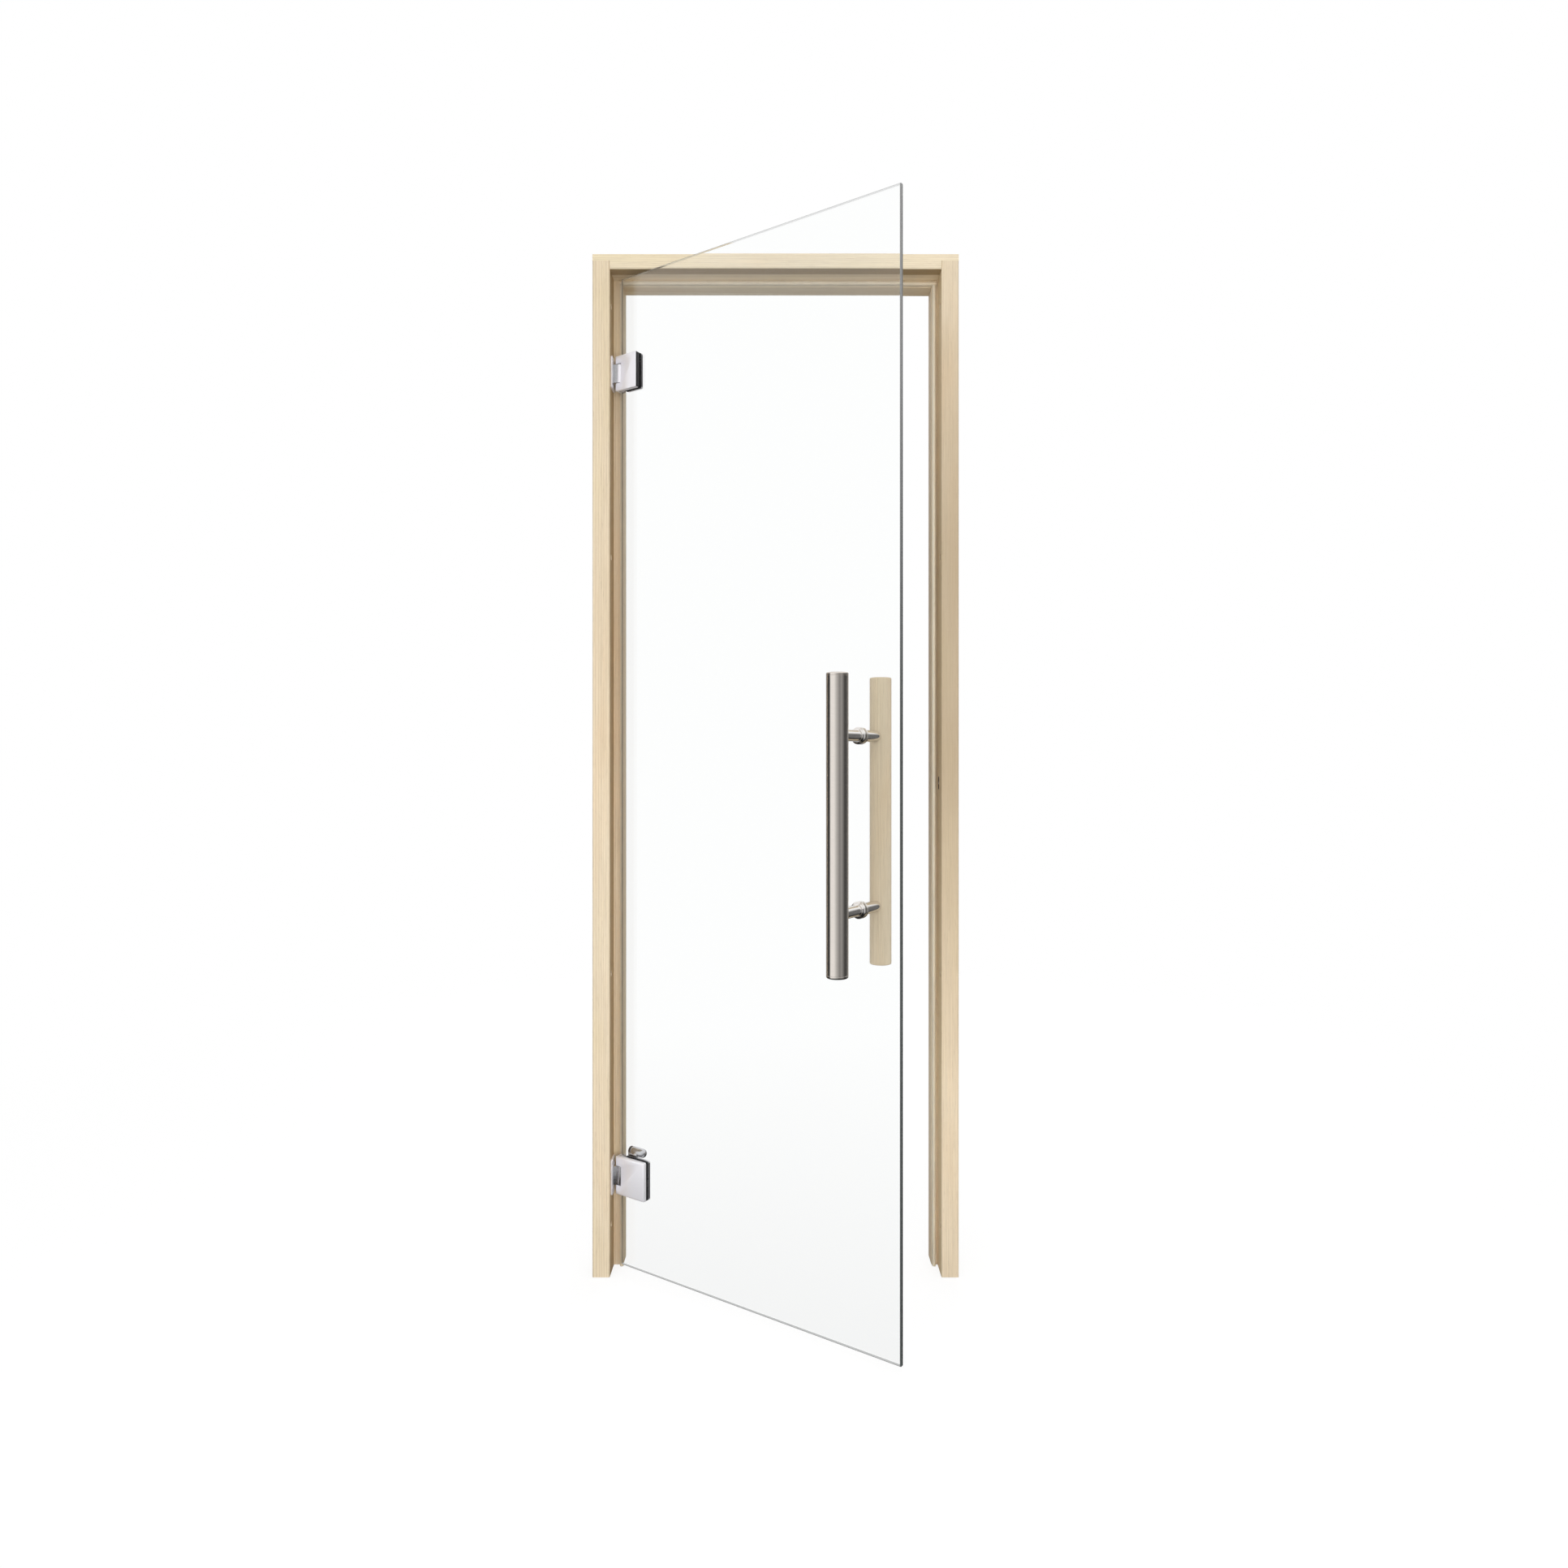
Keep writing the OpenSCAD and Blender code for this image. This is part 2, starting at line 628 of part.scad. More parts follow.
module inner_standoff(z) {
    length = bar_reach - glass_t / 2 - inner_bar_r + standoff_seat;
    color(STEEL) on_glass(1, z) difference() {
        translate([0, rosette_t, 0]) rotate([-90, 0, 0]) cylinder(h = length - rosette_t, r = standoff_r);
        stud_hole();
    }
}

module upper_outer_rosette() { rosette(0, standoff_zs[1]); }

module upper_inner_rosette() { rosette(1, standoff_zs[1]); }

module lower_outer_rosette() { rosette(0, standoff_zs[0]); }

module lower_inner_rosette() { rosette(1, standoff_zs[0]); }

module upper_outer_standoff() { outer_standoff(standoff_zs[1]); }

module lower_outer_standoff() { outer_standoff(standoff_zs[0]); }

module upper_inner_standoff() { inner_standoff(standoff_zs[1]); }

module lower_inner_standoff() { inner_standoff(standoff_zs[0]); }

// A stud through the glass joins each pair of standoffs
module handle_studs() {
    reach = rosette_t + stud_reach;
    color(STEEL) swing() for (z = standoff_zs) translate([bar_x, glass_y - reach, z]) rotate([-90, 0, 0])
        cylinder(h = glass_t + 2 * reach, r = stud_r);
}

hinge_jamb();
strike_jamb();
head_rail();
hinge_corner_screws();
strike_corner_screws();
hinge_side_seal();
strike_side_seal();
head_seal();
strike_catch();
upper_hinge_bracket();
upper_bracket_screws();
upper_hinge_washers();
upper_hinge_pin();
lower_hinge_bracket();
lower_bracket_screws();
lower_hinge_washers();
lower_hinge_pin();
glass_leaf();
upper_outer_plate();
upper_outer_gasket();
upper_inner_gasket();
upper_inner_plate();
upper_clamp_screws();
lower_outer_plate();
lower_outer_gasket();
lower_inner_gasket();
lower_inner_plate();
lower_clamp_screws();
lower_closer_barrel();
outer_pull_bar();
outer_bar_top_cap();
outer_bar_bottom_cap();
inner_pull_bar();
upper_outer_rosette();
upper_outer_standoff();
upper_inner_rosette();
upper_inner_standoff();
lower_outer_rosette();
lower_outer_standoff();
lower_inner_rosette();
lower_inner_standoff();
handle_studs();
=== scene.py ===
"""Dresses a sauna door: a clear glass leaf standing ajar in a pale softwood frame.

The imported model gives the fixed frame. Each sub-assembly is a class that models its own
pieces, gives every part its finish and hangs the pieces on the body they move with.
Sizes are millimetres, taken from the part's own named values, until a piece is made.
"""

from __future__ import annotations

import json
import logging
import math
from collections.abc import Callable, Iterable, Sequence
from dataclasses import dataclass, field
from enum import Enum

import bpy
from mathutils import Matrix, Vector

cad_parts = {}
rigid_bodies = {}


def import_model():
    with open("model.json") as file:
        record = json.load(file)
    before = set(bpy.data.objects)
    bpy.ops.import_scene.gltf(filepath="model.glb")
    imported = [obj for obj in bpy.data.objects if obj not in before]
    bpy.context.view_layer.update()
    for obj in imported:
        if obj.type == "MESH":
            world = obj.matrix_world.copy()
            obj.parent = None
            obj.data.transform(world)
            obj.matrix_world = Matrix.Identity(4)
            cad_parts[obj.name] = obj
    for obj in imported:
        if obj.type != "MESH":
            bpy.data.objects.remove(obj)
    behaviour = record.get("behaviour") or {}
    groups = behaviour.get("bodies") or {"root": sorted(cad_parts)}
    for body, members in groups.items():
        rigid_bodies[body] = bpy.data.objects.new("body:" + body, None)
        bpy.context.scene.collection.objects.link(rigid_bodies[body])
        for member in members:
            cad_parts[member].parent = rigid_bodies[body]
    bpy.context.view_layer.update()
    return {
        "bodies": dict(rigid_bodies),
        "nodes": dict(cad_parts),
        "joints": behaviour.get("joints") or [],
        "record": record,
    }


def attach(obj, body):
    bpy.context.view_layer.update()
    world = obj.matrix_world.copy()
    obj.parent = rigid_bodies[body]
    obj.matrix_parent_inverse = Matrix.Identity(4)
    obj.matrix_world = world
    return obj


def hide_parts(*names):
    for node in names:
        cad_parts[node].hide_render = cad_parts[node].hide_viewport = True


LOG = logging.getLogger("sauna_door")
MM = 0.001
TINY = 0.01

Point = Sequence[float]
Colour = tuple[float, float, float]
FaceTest = Callable[[Vector, Vector], bool]
EdgeTest = Callable[[Vector, Vector], bool]


class Body(Enum):
    """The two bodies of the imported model."""

    FRAME = "frame"
    DOOR = "door"


class Way(Enum):
    """Which way a rod or a turned piece points; the value turns +Z that way."""

    ALONG_X = (0.0, math.pi / 2, 0.0)
    AGAINST_X = (0.0, -math.pi / 2, 0.0)
    ALONG_Y = (-math.pi / 2, 0.0, 0.0)
    AGAINST_Y = (math.pi / 2, 0.0, 0.0)
    ALONG_Z = (0.0, 0.0, 0.0)
    AGAINST_Z = (math.pi, 0.0, 0.0)


class Grain(Enum):
    """Which way the fibres of a timber run; the value turns that way to Z."""

    UPRIGHT = (0.0, 0.0, 0.0)
    ACROSS = (0.0, -math.pi / 2, 0.0)


def linear(red: int, green: int, blue: int) -> Colour:
    """Turns a screen colour into the linear one that a shader takes.

    Args:
        red: Red, from 0 to 255.
        green: Green, from 0 to 255.
        blue: Blue, from 0 to 255.

    Returns:
        The three linear values, from 0 to 1.
    """

    def one(value: int) -> float:
        """Undoes the screen's curve for one channel."""
        share = value / 255
        return share / 12.92 if share <= 0.04045 else ((share + 0.055) / 1.055) ** 2.4

    return one(red), one(green), one(blue)


# Materials


class Recipe:
    """A material under construction: a Principled shader and what drives it."""

    def __init__(self, name: str) -> None:
        """Starts an empty material.

        Args:
            name: The material's name.
        """
        self.material = bpy.data.materials.new(name)
        self.material.use_nodes = True
        self.tree = self.material.node_tree
        self.tree.nodes.clear()
        self.output = self.tree.nodes.new("ShaderNodeOutputMaterial")
        self.shader = self.tree.nodes.new("ShaderNodeBsdfPrincipled")
        self.join(self.shader.outputs["BSDF"], self.output.inputs["Surface"])
        self.place = self.tree.nodes.new("ShaderNodeTexCoord").outputs

    def join(self, source: bpy.types.NodeSocket, target: bpy.types.NodeSocket) -> None:
        """Links one socket to another."""
        self.tree.links.new(source, target)

    def set(self, **values: float | Sequence[float]) -> None:
        """Sets plain values on the shader's own sockets.

        Args:
            values: Socket names with _ for each space, and their values.
        """
        for name, value in values.items():
            socket = self.shader.inputs[name.replace("_", " ")]
            socket.default_value = (*value, 1.0) if socket.type == "RGBA" else value

    def stretched(
        self,
        scale: Point,
        turn: Point = (0, 0, 0),
        shift: Point = (0, 0, 0),
        source: bpy.types.NodeSocket | None = None,
    ) -> bpy.types.NodeSocket:
        """Object coordinates, stretched, turned and shifted for a pattern.

        Args:
            scale: The pattern's scale along each axis.
            turn: Its rotation, in radians.
            shift: Its shift, in metres.
            source: The coordinates to start from, if not the object's own.

        Returns:
            The coordinates' socket.
        """
        node = self.tree.nodes.new("ShaderNodeMapping")
        self.join(source or self.place["Object"], node.inputs["Vector"])
        node.inputs["Scale"].default_value = scale
        node.inputs["Rotation"].default_value = turn
        node.inputs["Location"].default_value = shift
        return node.outputs["Vector"]

    def noise(
        self, where: bpy.types.NodeSocket, scale: float, detail: float = 3.0, roughness: float = 0.55
    ) -> bpy.types.NodeSocket:
        """Cloudy noise between 0 and 1.

        Args:
            where: Its coordinates.
            scale: How many clouds there are to a metre.
            detail: How many finer layers lie on it.
            roughness: How strong the finer layers are.

        Returns:
            The noise's value.
        """
        node = self.tree.nodes.new("ShaderNodeTexNoise")
        self.join(where, node.inputs["Vector"])
        node.inputs["Scale"].default_value = scale
        node.inputs["Detail"].default_value = detail
        node.inputs["Roughness"].default_value = roughness
        return node.outputs["Fac"]

    def ramp(self, value: bpy.types.NodeSocket, stops: Iterable[tuple[float, Colour]]) -> bpy.types.NodeSocket:
        """Turns a value into a colour through a ramp.

        Args:
            value: The value to read.
            stops: Places from 0 to 1, each with its colour.

        Returns:
            The colour's socket.
        """
        node = self.tree.nodes.new("ShaderNodeValToRGB")
        elements = node.color_ramp.elements
        stops = list(stops)
        while len(elements) < len(stops):
            elements.new(0.5)
        for element, (place, colour) in zip(elements, stops):
            element.position = place
            element.color = (*colour, 1.0)
        self.join(value, node.inputs["Fac"])
        return node.outputs["Color"]

    def span(self, value: bpy.types.NodeSocket, low: float, high: float, start: float = 0.0, end: float = 1.0):
        """Maps a value's range from start..end to low..high.

        Args:
            value: The value to read.
            low: What start becomes.
            high: What end becomes.
            start: The lower end read.
            end: The upper end read.

        Returns:
            The mapped value's socket.
        """
        node = self.tree.nodes.new("ShaderNodeMapRange")
        self.join(value, node.inputs["Value"])
        for name, number in (("From Min", start), ("From Max", end), ("To Min", low), ("To Max", high)):
            node.inputs[name].default_value = number
        return node.outputs["Result"]

    def blend(
        self,
        share: bpy.types.NodeSocket | float,
        first: bpy.types.NodeSocket | Colour,
        second: bpy.types.NodeSocket | Colour,
        how: str = "MIX",
    ) -> bpy.types.NodeSocket:
        """Mixes two colours.

        Args:
            share: How much of the second is used.
            first: The first colour.
            second: The second colour.
            how: The blend type.

        Returns:
            The mixed colour's socket.
        """
        node = self.tree.nodes.new("ShaderNodeMix")
        node.data_type = "RGBA"
        node.blend_type = how
        for socket, given in ((node.inputs[0], share), (node.inputs[6], first), (node.inputs[7], second)):
            if isinstance(given, bpy.types.NodeSocket):
                self.join(given, socket)
            else:
                socket.default_value = (*given, 1.0) if isinstance(given, tuple) else given
        return node.outputs[2]

    def sum(self, first: bpy.types.NodeSocket, second: bpy.types.NodeSocket | float, how: str = "ADD"):
        """Works out one value from two.

        Args:
            first: The first value.
            second: The second value.
            how: The operation.

        Returns:
            The result's socket.
        """
        node = self.tree.nodes.new("ShaderNodeMath")
        node.operation = how
        self.join(first, node.inputs[0])
        if isinstance(second, bpy.types.NodeSocket):
            self.join(second, node.inputs[1])
        else:
            node.inputs[1].default_value = second
        return node.outputs[0]

    def relief(self, height: bpy.types.NodeSocket, strength: float, depth: float) -> None:
        """Lets a height pattern stand out on the surface.

        Args:
            height: The pattern.
            strength: How strongly it shows.
            depth: Its depth, in metres.
        """
        node = self.tree.nodes.new("ShaderNodeBump")
        node.inputs["Strength"].default_value = strength
        node.inputs["Distance"].default_value = depth
        self.join(height, node.inputs["Height"])
        self.join(node.outputs["Normal"], self.shader.inputs["Normal"])

    def feed(self, name: str, source: bpy.types.NodeSocket) -> None:
        """Links a pattern to the shader's socket of that name."""
        self.join(source, self.shader.inputs[name])


BLUSH = (1.0, 0.93, 0.86)
STRAW = (0.97, 0.97, 0.86)
# Height and reach of the darker band round the strike jamb's middle.
MIDDLE_BAND_HEIGHT = 1.15
MIDDLE_BAND_REACH = (0.2, 0.78)
JAMB_SKIN = 0.01
FADE = 0.002
FRAME_FAR = (0.68, 1.9)


@dataclass(frozen=True)
class Timber:
    """Planed and sanded pale softwood, with growth rings round a pith beside the board."""

    name: str
    early: Colour
    late: Colour
    grain: Grain = Grain.UPRIGHT
    pith: Point = (0.05, 0.09, 0.0)
    ring_width: float = 2.6
    contrast: float = 0.42
    ripple: float = 3.2
    middle_band: float = 0.0
    # The tint multiplied onto the rebate's walls as painted shade; white leaves them as they are.
    rebate: Colour = (1.0, 1.0, 1.0)
    rebate_end: float = 0.003

    def make(self) -> bpy.types.Material:
        """Builds the timber's material.

        Returns:
            The finished material.
        """
        mix = Recipe(self.name)
        along = mix.stretched((1, 1, 1), self.grain.value)
        board = mix.stretched((1, 1, 0.035), shift=self.pith, source=along)
        rings = mix.tree.nodes.new("ShaderNodeTexWave")
        rings.wave_type = "RINGS"
        rings.rings_direction = "Z"
        rings.wave_profile = "SAW"
        mix.join(board, rings.inputs["Vector"])
        ring_scale = math.tau / (20 * self.ring_width * MM)
        for name, number in (
            ("Scale", ring_scale),
            ("Distortion", self.ripple),
            ("Detail", 2.0),
            ("Detail Scale", 1 / (ring_scale * 0.045)),
            ("Detail Roughness", 0.45),
        ):
            rings.inputs[name].default_value = number
        late = mix.span(mix.span(rings.outputs["Fac"], 0, 1, 0.35, 1.0), 0, self.contrast)
        fibres = mix.noise(mix.stretched((1, 1, 0.012), source=along), 1100, 4, 0.62)
        pores = mix.noise(mix.stretched((1, 1, 0.02), shift=(3, 1, 2), source=along), 2300, 2, 0.5)
        drift = mix.noise(mix.stretched((1, 1, 0.16), shift=(7, 2, 5), source=along), 9, 3, 0.5)
        tint = mix.noise(mix.stretched((1, 1, 0.22), shift=(2, 9, 4), source=along), 16, 3, 0.5)
        colour = mix.blend(late, self.early, self.late)
        colour = mix.blend(mix.span(tint, 0, 0.6, 0.5, 0.68), colour, BLUSH, "MULTIPLY")
        colour = mix.blend(mix.span(tint, 0.5, 0, 0.3, 0.48), colour, STRAW, "MULTIPLY")
        colour = mix.blend(mix.span(drift, 0, 0.34, 0.42, 0.75), colour, self.late)
        colour = mix.blend(0.55, colour, mix.ramp(fibres, ((0.3, (0.72, 0.70, 0.67)), (0.62, (1, 1, 1)))), "MULTIPLY")
        colour = mix.blend(0.5, colour, mix.ramp(pores, ((0.28, (0.55, 0.47, 0.4)), (0.38, (1, 1, 1)))), "MULTIPLY")
        # Darker across a band round mid-height of the board.
        if self.middle_band:
            darker = tuple(c * 0.55 for c in self.late)
            colour = mix.blend(mix.sum(self.middle_band_share(mix), self.middle_band, "MULTIPLY"), colour, darker)
        # Painted shade: the rebate's walls are darkened by the rebate tint.
        if min(self.rebate) < 1:
            colour = mix.blend(self.painted_rebate_shade(mix), colour, mix.blend(1.0, colour, self.rebate, "MULTIPLY"))
        cut = mix.sum(self.end_grain(mix), 0.22, "MULTIPLY")
        colour = mix.blend(cut, colour, self.late)
        mix.feed("Base Color", colour)
        mix.feed("Roughness", mix.span(fibres, 0.66, 0.5, 0.3, 0.7))
        mix.set(Specular_IOR_Level=0.32)
        mix.relief(mix.sum(mix.sum(fibres, 0.7, "MULTIPLY"), mix.sum(late, 0.5, "MULTIPLY")), 0.35, 0.00025)
        return mix.material

    def middle_band_share(self, mix: Recipe) -> bpy.types.NodeSocket:
        """Finds the stretch of the board round a set height that is made darker.

        Args:
            mix: The recipe that asks.

        Returns:
            A value that is 1 in the middle of the stretch and 0 far from it.
        """
        place = mix.tree.nodes.new("ShaderNodeSeparateXYZ")
        mix.join(mix.place["Object"], place.inputs[0])
        away = mix.sum(mix.sum(place.outputs["Z"], MIDDLE_BAND_HEIGHT, "SUBTRACT"), 0.0, "ABSOLUTE")
        return mix.span(away, 1, 0, *MIDDLE_BAND_REACH)

    def painted_rebate_shade(self, mix: Recipe) -> bpy.types.NodeSocket:
        """Finds the rebate's own walls, where shade is painted onto the timber.

        Args:
            mix: The recipe that asks.

        Returns:
            A value that is 1 on the rebate's walls and 0 elsewhere.
        """
        place, facing = (mix.tree.nodes.new("ShaderNodeSeparateXYZ") for _ in range(2))
        mix.join(mix.place["Object"], place.inputs[0])
        mix.join(mix.place["Normal"], facing.inputs[0])
        share = mix.span(mix.sum(facing.outputs["Y"], 0.0, "ABSOLUTE"), 1, 0, 0.3, 0.6)
        right, top = FRAME_FAR
        for axis, outside, inside in (
            ("Y", self.rebate_end + FADE, self.rebate_end - FADE),
            ("X", 0.0, JAMB_SKIN),
            ("X", right, right - JAMB_SKIN),
            ("Z", top, top - JAMB_SKIN),
        ):
            share = mix.sum(share, mix.span(place.outputs[axis], 0, 1, outside, inside), "MULTIPLY")
        return share

    def end_grain(self, mix: Recipe) -> bpy.types.NodeSocket:
        """Finds the board's sawn ends.

        Args:
            mix: The recipe that asks.

        Returns:
            A value that is 1 on the ends and 0 along the grain.
        """
        facing = mix.tree.nodes.new("ShaderNodeSeparateXYZ")
        mix.join(mix.stretched((1, 1, 1), self.grain.value, source=mix.place["Normal"]), facing.inputs[0])
        return mix.span(mix.sum(facing.outputs["Z"], 0.0, "ABSOLUTE"), 0, 1, 0.8, 0.95)


@dataclass(frozen=True)
class Metal:
    """A bare or plated metal with fine brush lines running one way."""

    name: str
    colour: Colour
    roughness: float
    lines: Point
    wear: float = 0.06
    depth: float = 0.00002
    bareness: float = 1.0

    def make(self) -> bpy.types.Material:
        """Builds the metal's material.

        Returns:
            The finished material.
        """
        mix = Recipe(self.name)
        strokes = mix.noise(mix.stretched(self.lines), 1.0, 3, 0.6)
        smears = mix.noise(mix.stretched((1, 1, 1), shift=(2, 4, 1)), 55, 4, 0.6)
        darker = tuple(c * (1 - 2 * self.wear) for c in self.colour)
        mix.feed("Base Color", mix.ramp(strokes, ((0.3, darker), (0.62, self.colour))))
        rough = mix.sum(
            mix.span(strokes, self.roughness - self.wear, self.roughness + self.wear, 0.3, 0.7),
            mix.span(smears, -self.wear / 2, self.wear, 0.3, 0.7),
        )
        mix.feed("Roughness", rough)
        mix.set(Metallic=self.bareness)
        mix.relief(strokes, 0.4, self.depth)
        return mix.material


@dataclass(frozen=True)
class Moulded:
    """Rubber, silicone, nylon or hard plastic, with a faint moulded grain."""

    name: str
    colour: Colour
    roughness: float
    grain: float = 900.0
    depth: float = 0.00006
    glow: float = 0.0
    clearness: float = 0.0

    def make(self) -> bpy.types.Material:
        """Builds the moulded material.

        Returns:
            The finished material.
        """
        mix = Recipe(self.name)
        skin = mix.noise(mix.stretched((1, 1, 1)), self.grain, 3, 0.55)
        tone = mix.noise(mix.stretched((1, 1, 0.3), shift=(1, 5, 3)), 40, 3, 0.5)
        dim = tuple(c * 0.9 for c in self.colour)
        mix.feed("Base Color", mix.ramp(tone, ((0.3, dim), (0.65, self.colour))))
        mix.feed("Roughness", mix.span(skin, self.roughness - 0.07, self.roughness + 0.07, 0.3, 0.7))
        mix.relief(skin, 0.3, self.depth)
        mix.set(Subsurface_Weight=self.glow, Subsurface_Radius=(1.0, 0.8, 0.6), Subsurface_Scale=0.003)
        mix.set(Transmission_Weight=self.clearness)
        return mix.material


@dataclass(frozen=True)
class Glass:
    """Clear float glass that lets the lamps through."""

    name: str
    colour: Colour = (0.985, 0.993, 0.99)
    roughness: float = 0.0
    smudge: float = 0.0

    def make(self) -> bpy.types.Material:
        """Builds the glass's material.

        Returns:
            The finished material.
        """
        mix = Recipe(self.name)
        mix.set(Base_Color=self.colour, Transmission_Weight=1.0, IOR=1.5, Roughness=self.roughness)
        if self.smudge:
            haze = mix.noise(mix.stretched((1, 1, 0.6)), 6, 4, 0.6)
            mix.feed("Roughness", mix.span(haze, self.roughness, self.roughness + self.smudge, 0.5, 0.8))
        open_path = mix.tree.nodes.new("ShaderNodeBsdfTransparent")
        path = mix.tree.nodes.new("ShaderNodeLightPath")
        choice = mix.tree.nodes.new("ShaderNodeMixShader")
        mix.join(path.outputs["Is Shadow Ray"], choice.inputs[0])
        mix.join(mix.shader.outputs["BSDF"], choice.inputs[1])
        mix.join(open_path.outputs["BSDF"], choice.inputs[2])
        mix.join(choice.outputs[0], mix.output.inputs["Surface"])
        return mix.material


@dataclass(frozen=True)
class GroundGlass:
    """The ground arris or the edge of toughened glass, grey where it scatters the light."""

    name: str
    colour: Colour
    roughness: float
    clearness: float
    # A paler colour that the edge turns to higher up: painted reflection.
    upper: Colour | None = None
    cover: float = 1.0

    def make(self) -> bpy.types.Material:
        """Builds the ground edge's material.

        Returns:
            The finished material.
        """
        mix = Recipe(self.name)
        speck = mix.noise(mix.stretched((1, 1, 1)), 1400, 3, 0.6)
        colour = self.colour
        # Painted reflection: the edge grows paler with height.
        if self.upper:
            place = mix.tree.nodes.new("ShaderNodeSeparateXYZ")
            mix.join(mix.place["Object"], place.inputs[0])
            colour = mix.blend(mix.span(place.outputs["Z"], 0, 1, *EDGE_LIGHT_HEIGHTS), self.colour, self.upper)
        mix.feed("Base Color", mix.blend(mix.span(speck, 0.3, 0, 0.3, 0.65), colour, (0.0, 0.0, 0.0)))
        mix.feed("Roughness", mix.span(speck, self.roughness - 0.08, self.roughness + 0.08, 0.3, 0.7))
        mix.set(Transmission_Weight=self.clearness, IOR=1.5, Alpha=self.cover)
        return mix.material


PALE = linear(246, 230, 203)
PALE_LATE = linear(214, 186, 146)

# The rebate tints are painted shade, deepest under the head and on the hinge jamb.
JAMB_TIMBER = Timber("hinge_jamb_timber", PALE, PALE_LATE, pith=(0.03, 0.11, 0.0), rebate=(0.66, 0.57, 0.45))
STRIKE_TIMBER = Timber(
    "strike_jamb_timber", PALE, PALE_LATE, pith=(-0.76, 0.08, 0.4), middle_band=0.6, rebate=(0.99, 0.93, 0.81)
)
# The head's early colour is a little paler than the jambs': painted light.
HEAD_TIMBER = Timber(
    "head_timber",
    linear(252, 238, 210),
    PALE_LATE,
    Grain.ACROSS,
    pith=(-1.86, 0.12, 0.2),
    rebate=(0.56, 0.48, 0.38),
    rebate_end=-0.02,
)
BAR_TIMBER = Timber(
    "bar_timber", linear(255, 240, 212), linear(230, 204, 164), pith=(-0.42, 0.40, 0.1), ring_width=2.2, contrast=0.3
)
SATIN_CHROME = Metal("satin_chrome", (0.965, 0.955, 1.0), 0.3, (60, 60, 2600), 0.012, 0.000003, bareness=0.3)
BRUSHED_STEEL = Metal("brushed_steel", (0.80, 0.745, 0.69), 0.15, (90, 90, 3200), 0.04)
TURNED_STEEL = Metal("turned_steel", (0.88, 0.85, 0.82), 0.11, (1500, 1500, 1500), 0.02, 0.000004)
CLOSER_STEEL = Metal("closer_steel", (0.66, 0.66, 0.69), 0.16, (1500, 1500, 1500), 0.03, 0.000004)
SCREW_STEEL = Metal("screw_steel", (0.60, 0.60, 0.62), 0.27, (1500, 1500, 1500), 0.05)
SILICONE = Moulded("seal_silicone", linear(236, 224, 201), 0.5, 700, glow=0.2, clearness=0.05)
# A shaded copy of the seal silicone for the head seal, a little darker and duller.
SHADED_SILICONE = Moulded("head_seal_silicone_shaded", linear(236, 221, 196), 0.6, 700, glow=0.1)
# Painted dark reflection for the hinge plates' free ends; the closer's key end takes it too.
ENDS_PAINTED_DARK = Moulded("ends_painted_dark", linear(44, 44, 48), 0.38, 1000)
RUBBER = Moulded("gasket_rubber", linear(38, 38, 40), 0.62, 1100, 0.0001)
NYLON = Moulded("washer_nylon", linear(70, 70, 72), 0.45, 800)
CATCH_PLASTIC = Moulded("catch_plastic", linear(58, 48, 42), 0.5, 900, 0.0001)
CLEAR_GLASS = Glass("clear_glass", smudge=0.02)
# Between these heights the arris and the edge turn paler upwards, as painted reflection.
EDGE_LIGHT_HEIGHTS = (1.0, 1.75)
ARRIS_GLASS = GroundGlass("glass_arris", linear(84, 88, 88), 0.5, 0.1, linear(152, 152, 152))
# Lit and shaded copies of one edge: painted paler at the top and darker at the foot.
LIT_TOP_EDGE = GroundGlass("glass_top_edge_lit", linear(150, 152, 152), 0.5, 0.0, cover=0.3)
SHADED_FOOT_EDGE = GroundGlass("glass_foot_edge_shaded", linear(120, 122, 122), 0.5, 0.0, cover=0.55)
# Painted light: the hinge edge is given a pale colour so that it does not show as a dark line.
LIGHTENED_HINGE_EDGE = GroundGlass("glass_hinge_edge_lightened", linear(190, 176, 156), 0.4, 0.0)
EDGE_GLASS = GroundGlass("glass_edge", linear(46, 52, 52), 0.2, 0.35, linear(128, 128, 128))


class Rack:
    """Keeps one built material for each finish."""

    def __init__(self) -> None:
        """Starts with nothing built."""
        self.built: dict[str, bpy.types.Material] = {}

    def get(self, finish: Timber | Metal | Moulded | Glass | GroundGlass) -> bpy.types.Material:
        """Gives a finish's material, and builds it the first time.

        Args:
            finish: The finish asked for.

        Returns:
            Its material.
        """
        if finish.name not in self.built:
            self.built[finish.name] = finish.make()
        return self.built[finish.name]


RACK = Rack()


# The bench


def clear_bench() -> None:
    """Leaves edit mode and deselects everything."""
    active = bpy.context.view_layer.objects.active
    if active is not None and active.mode != "OBJECT":
        bpy.ops.object.mode_set(mode="OBJECT")
    bpy.ops.object.select_all(action="DESELECT")


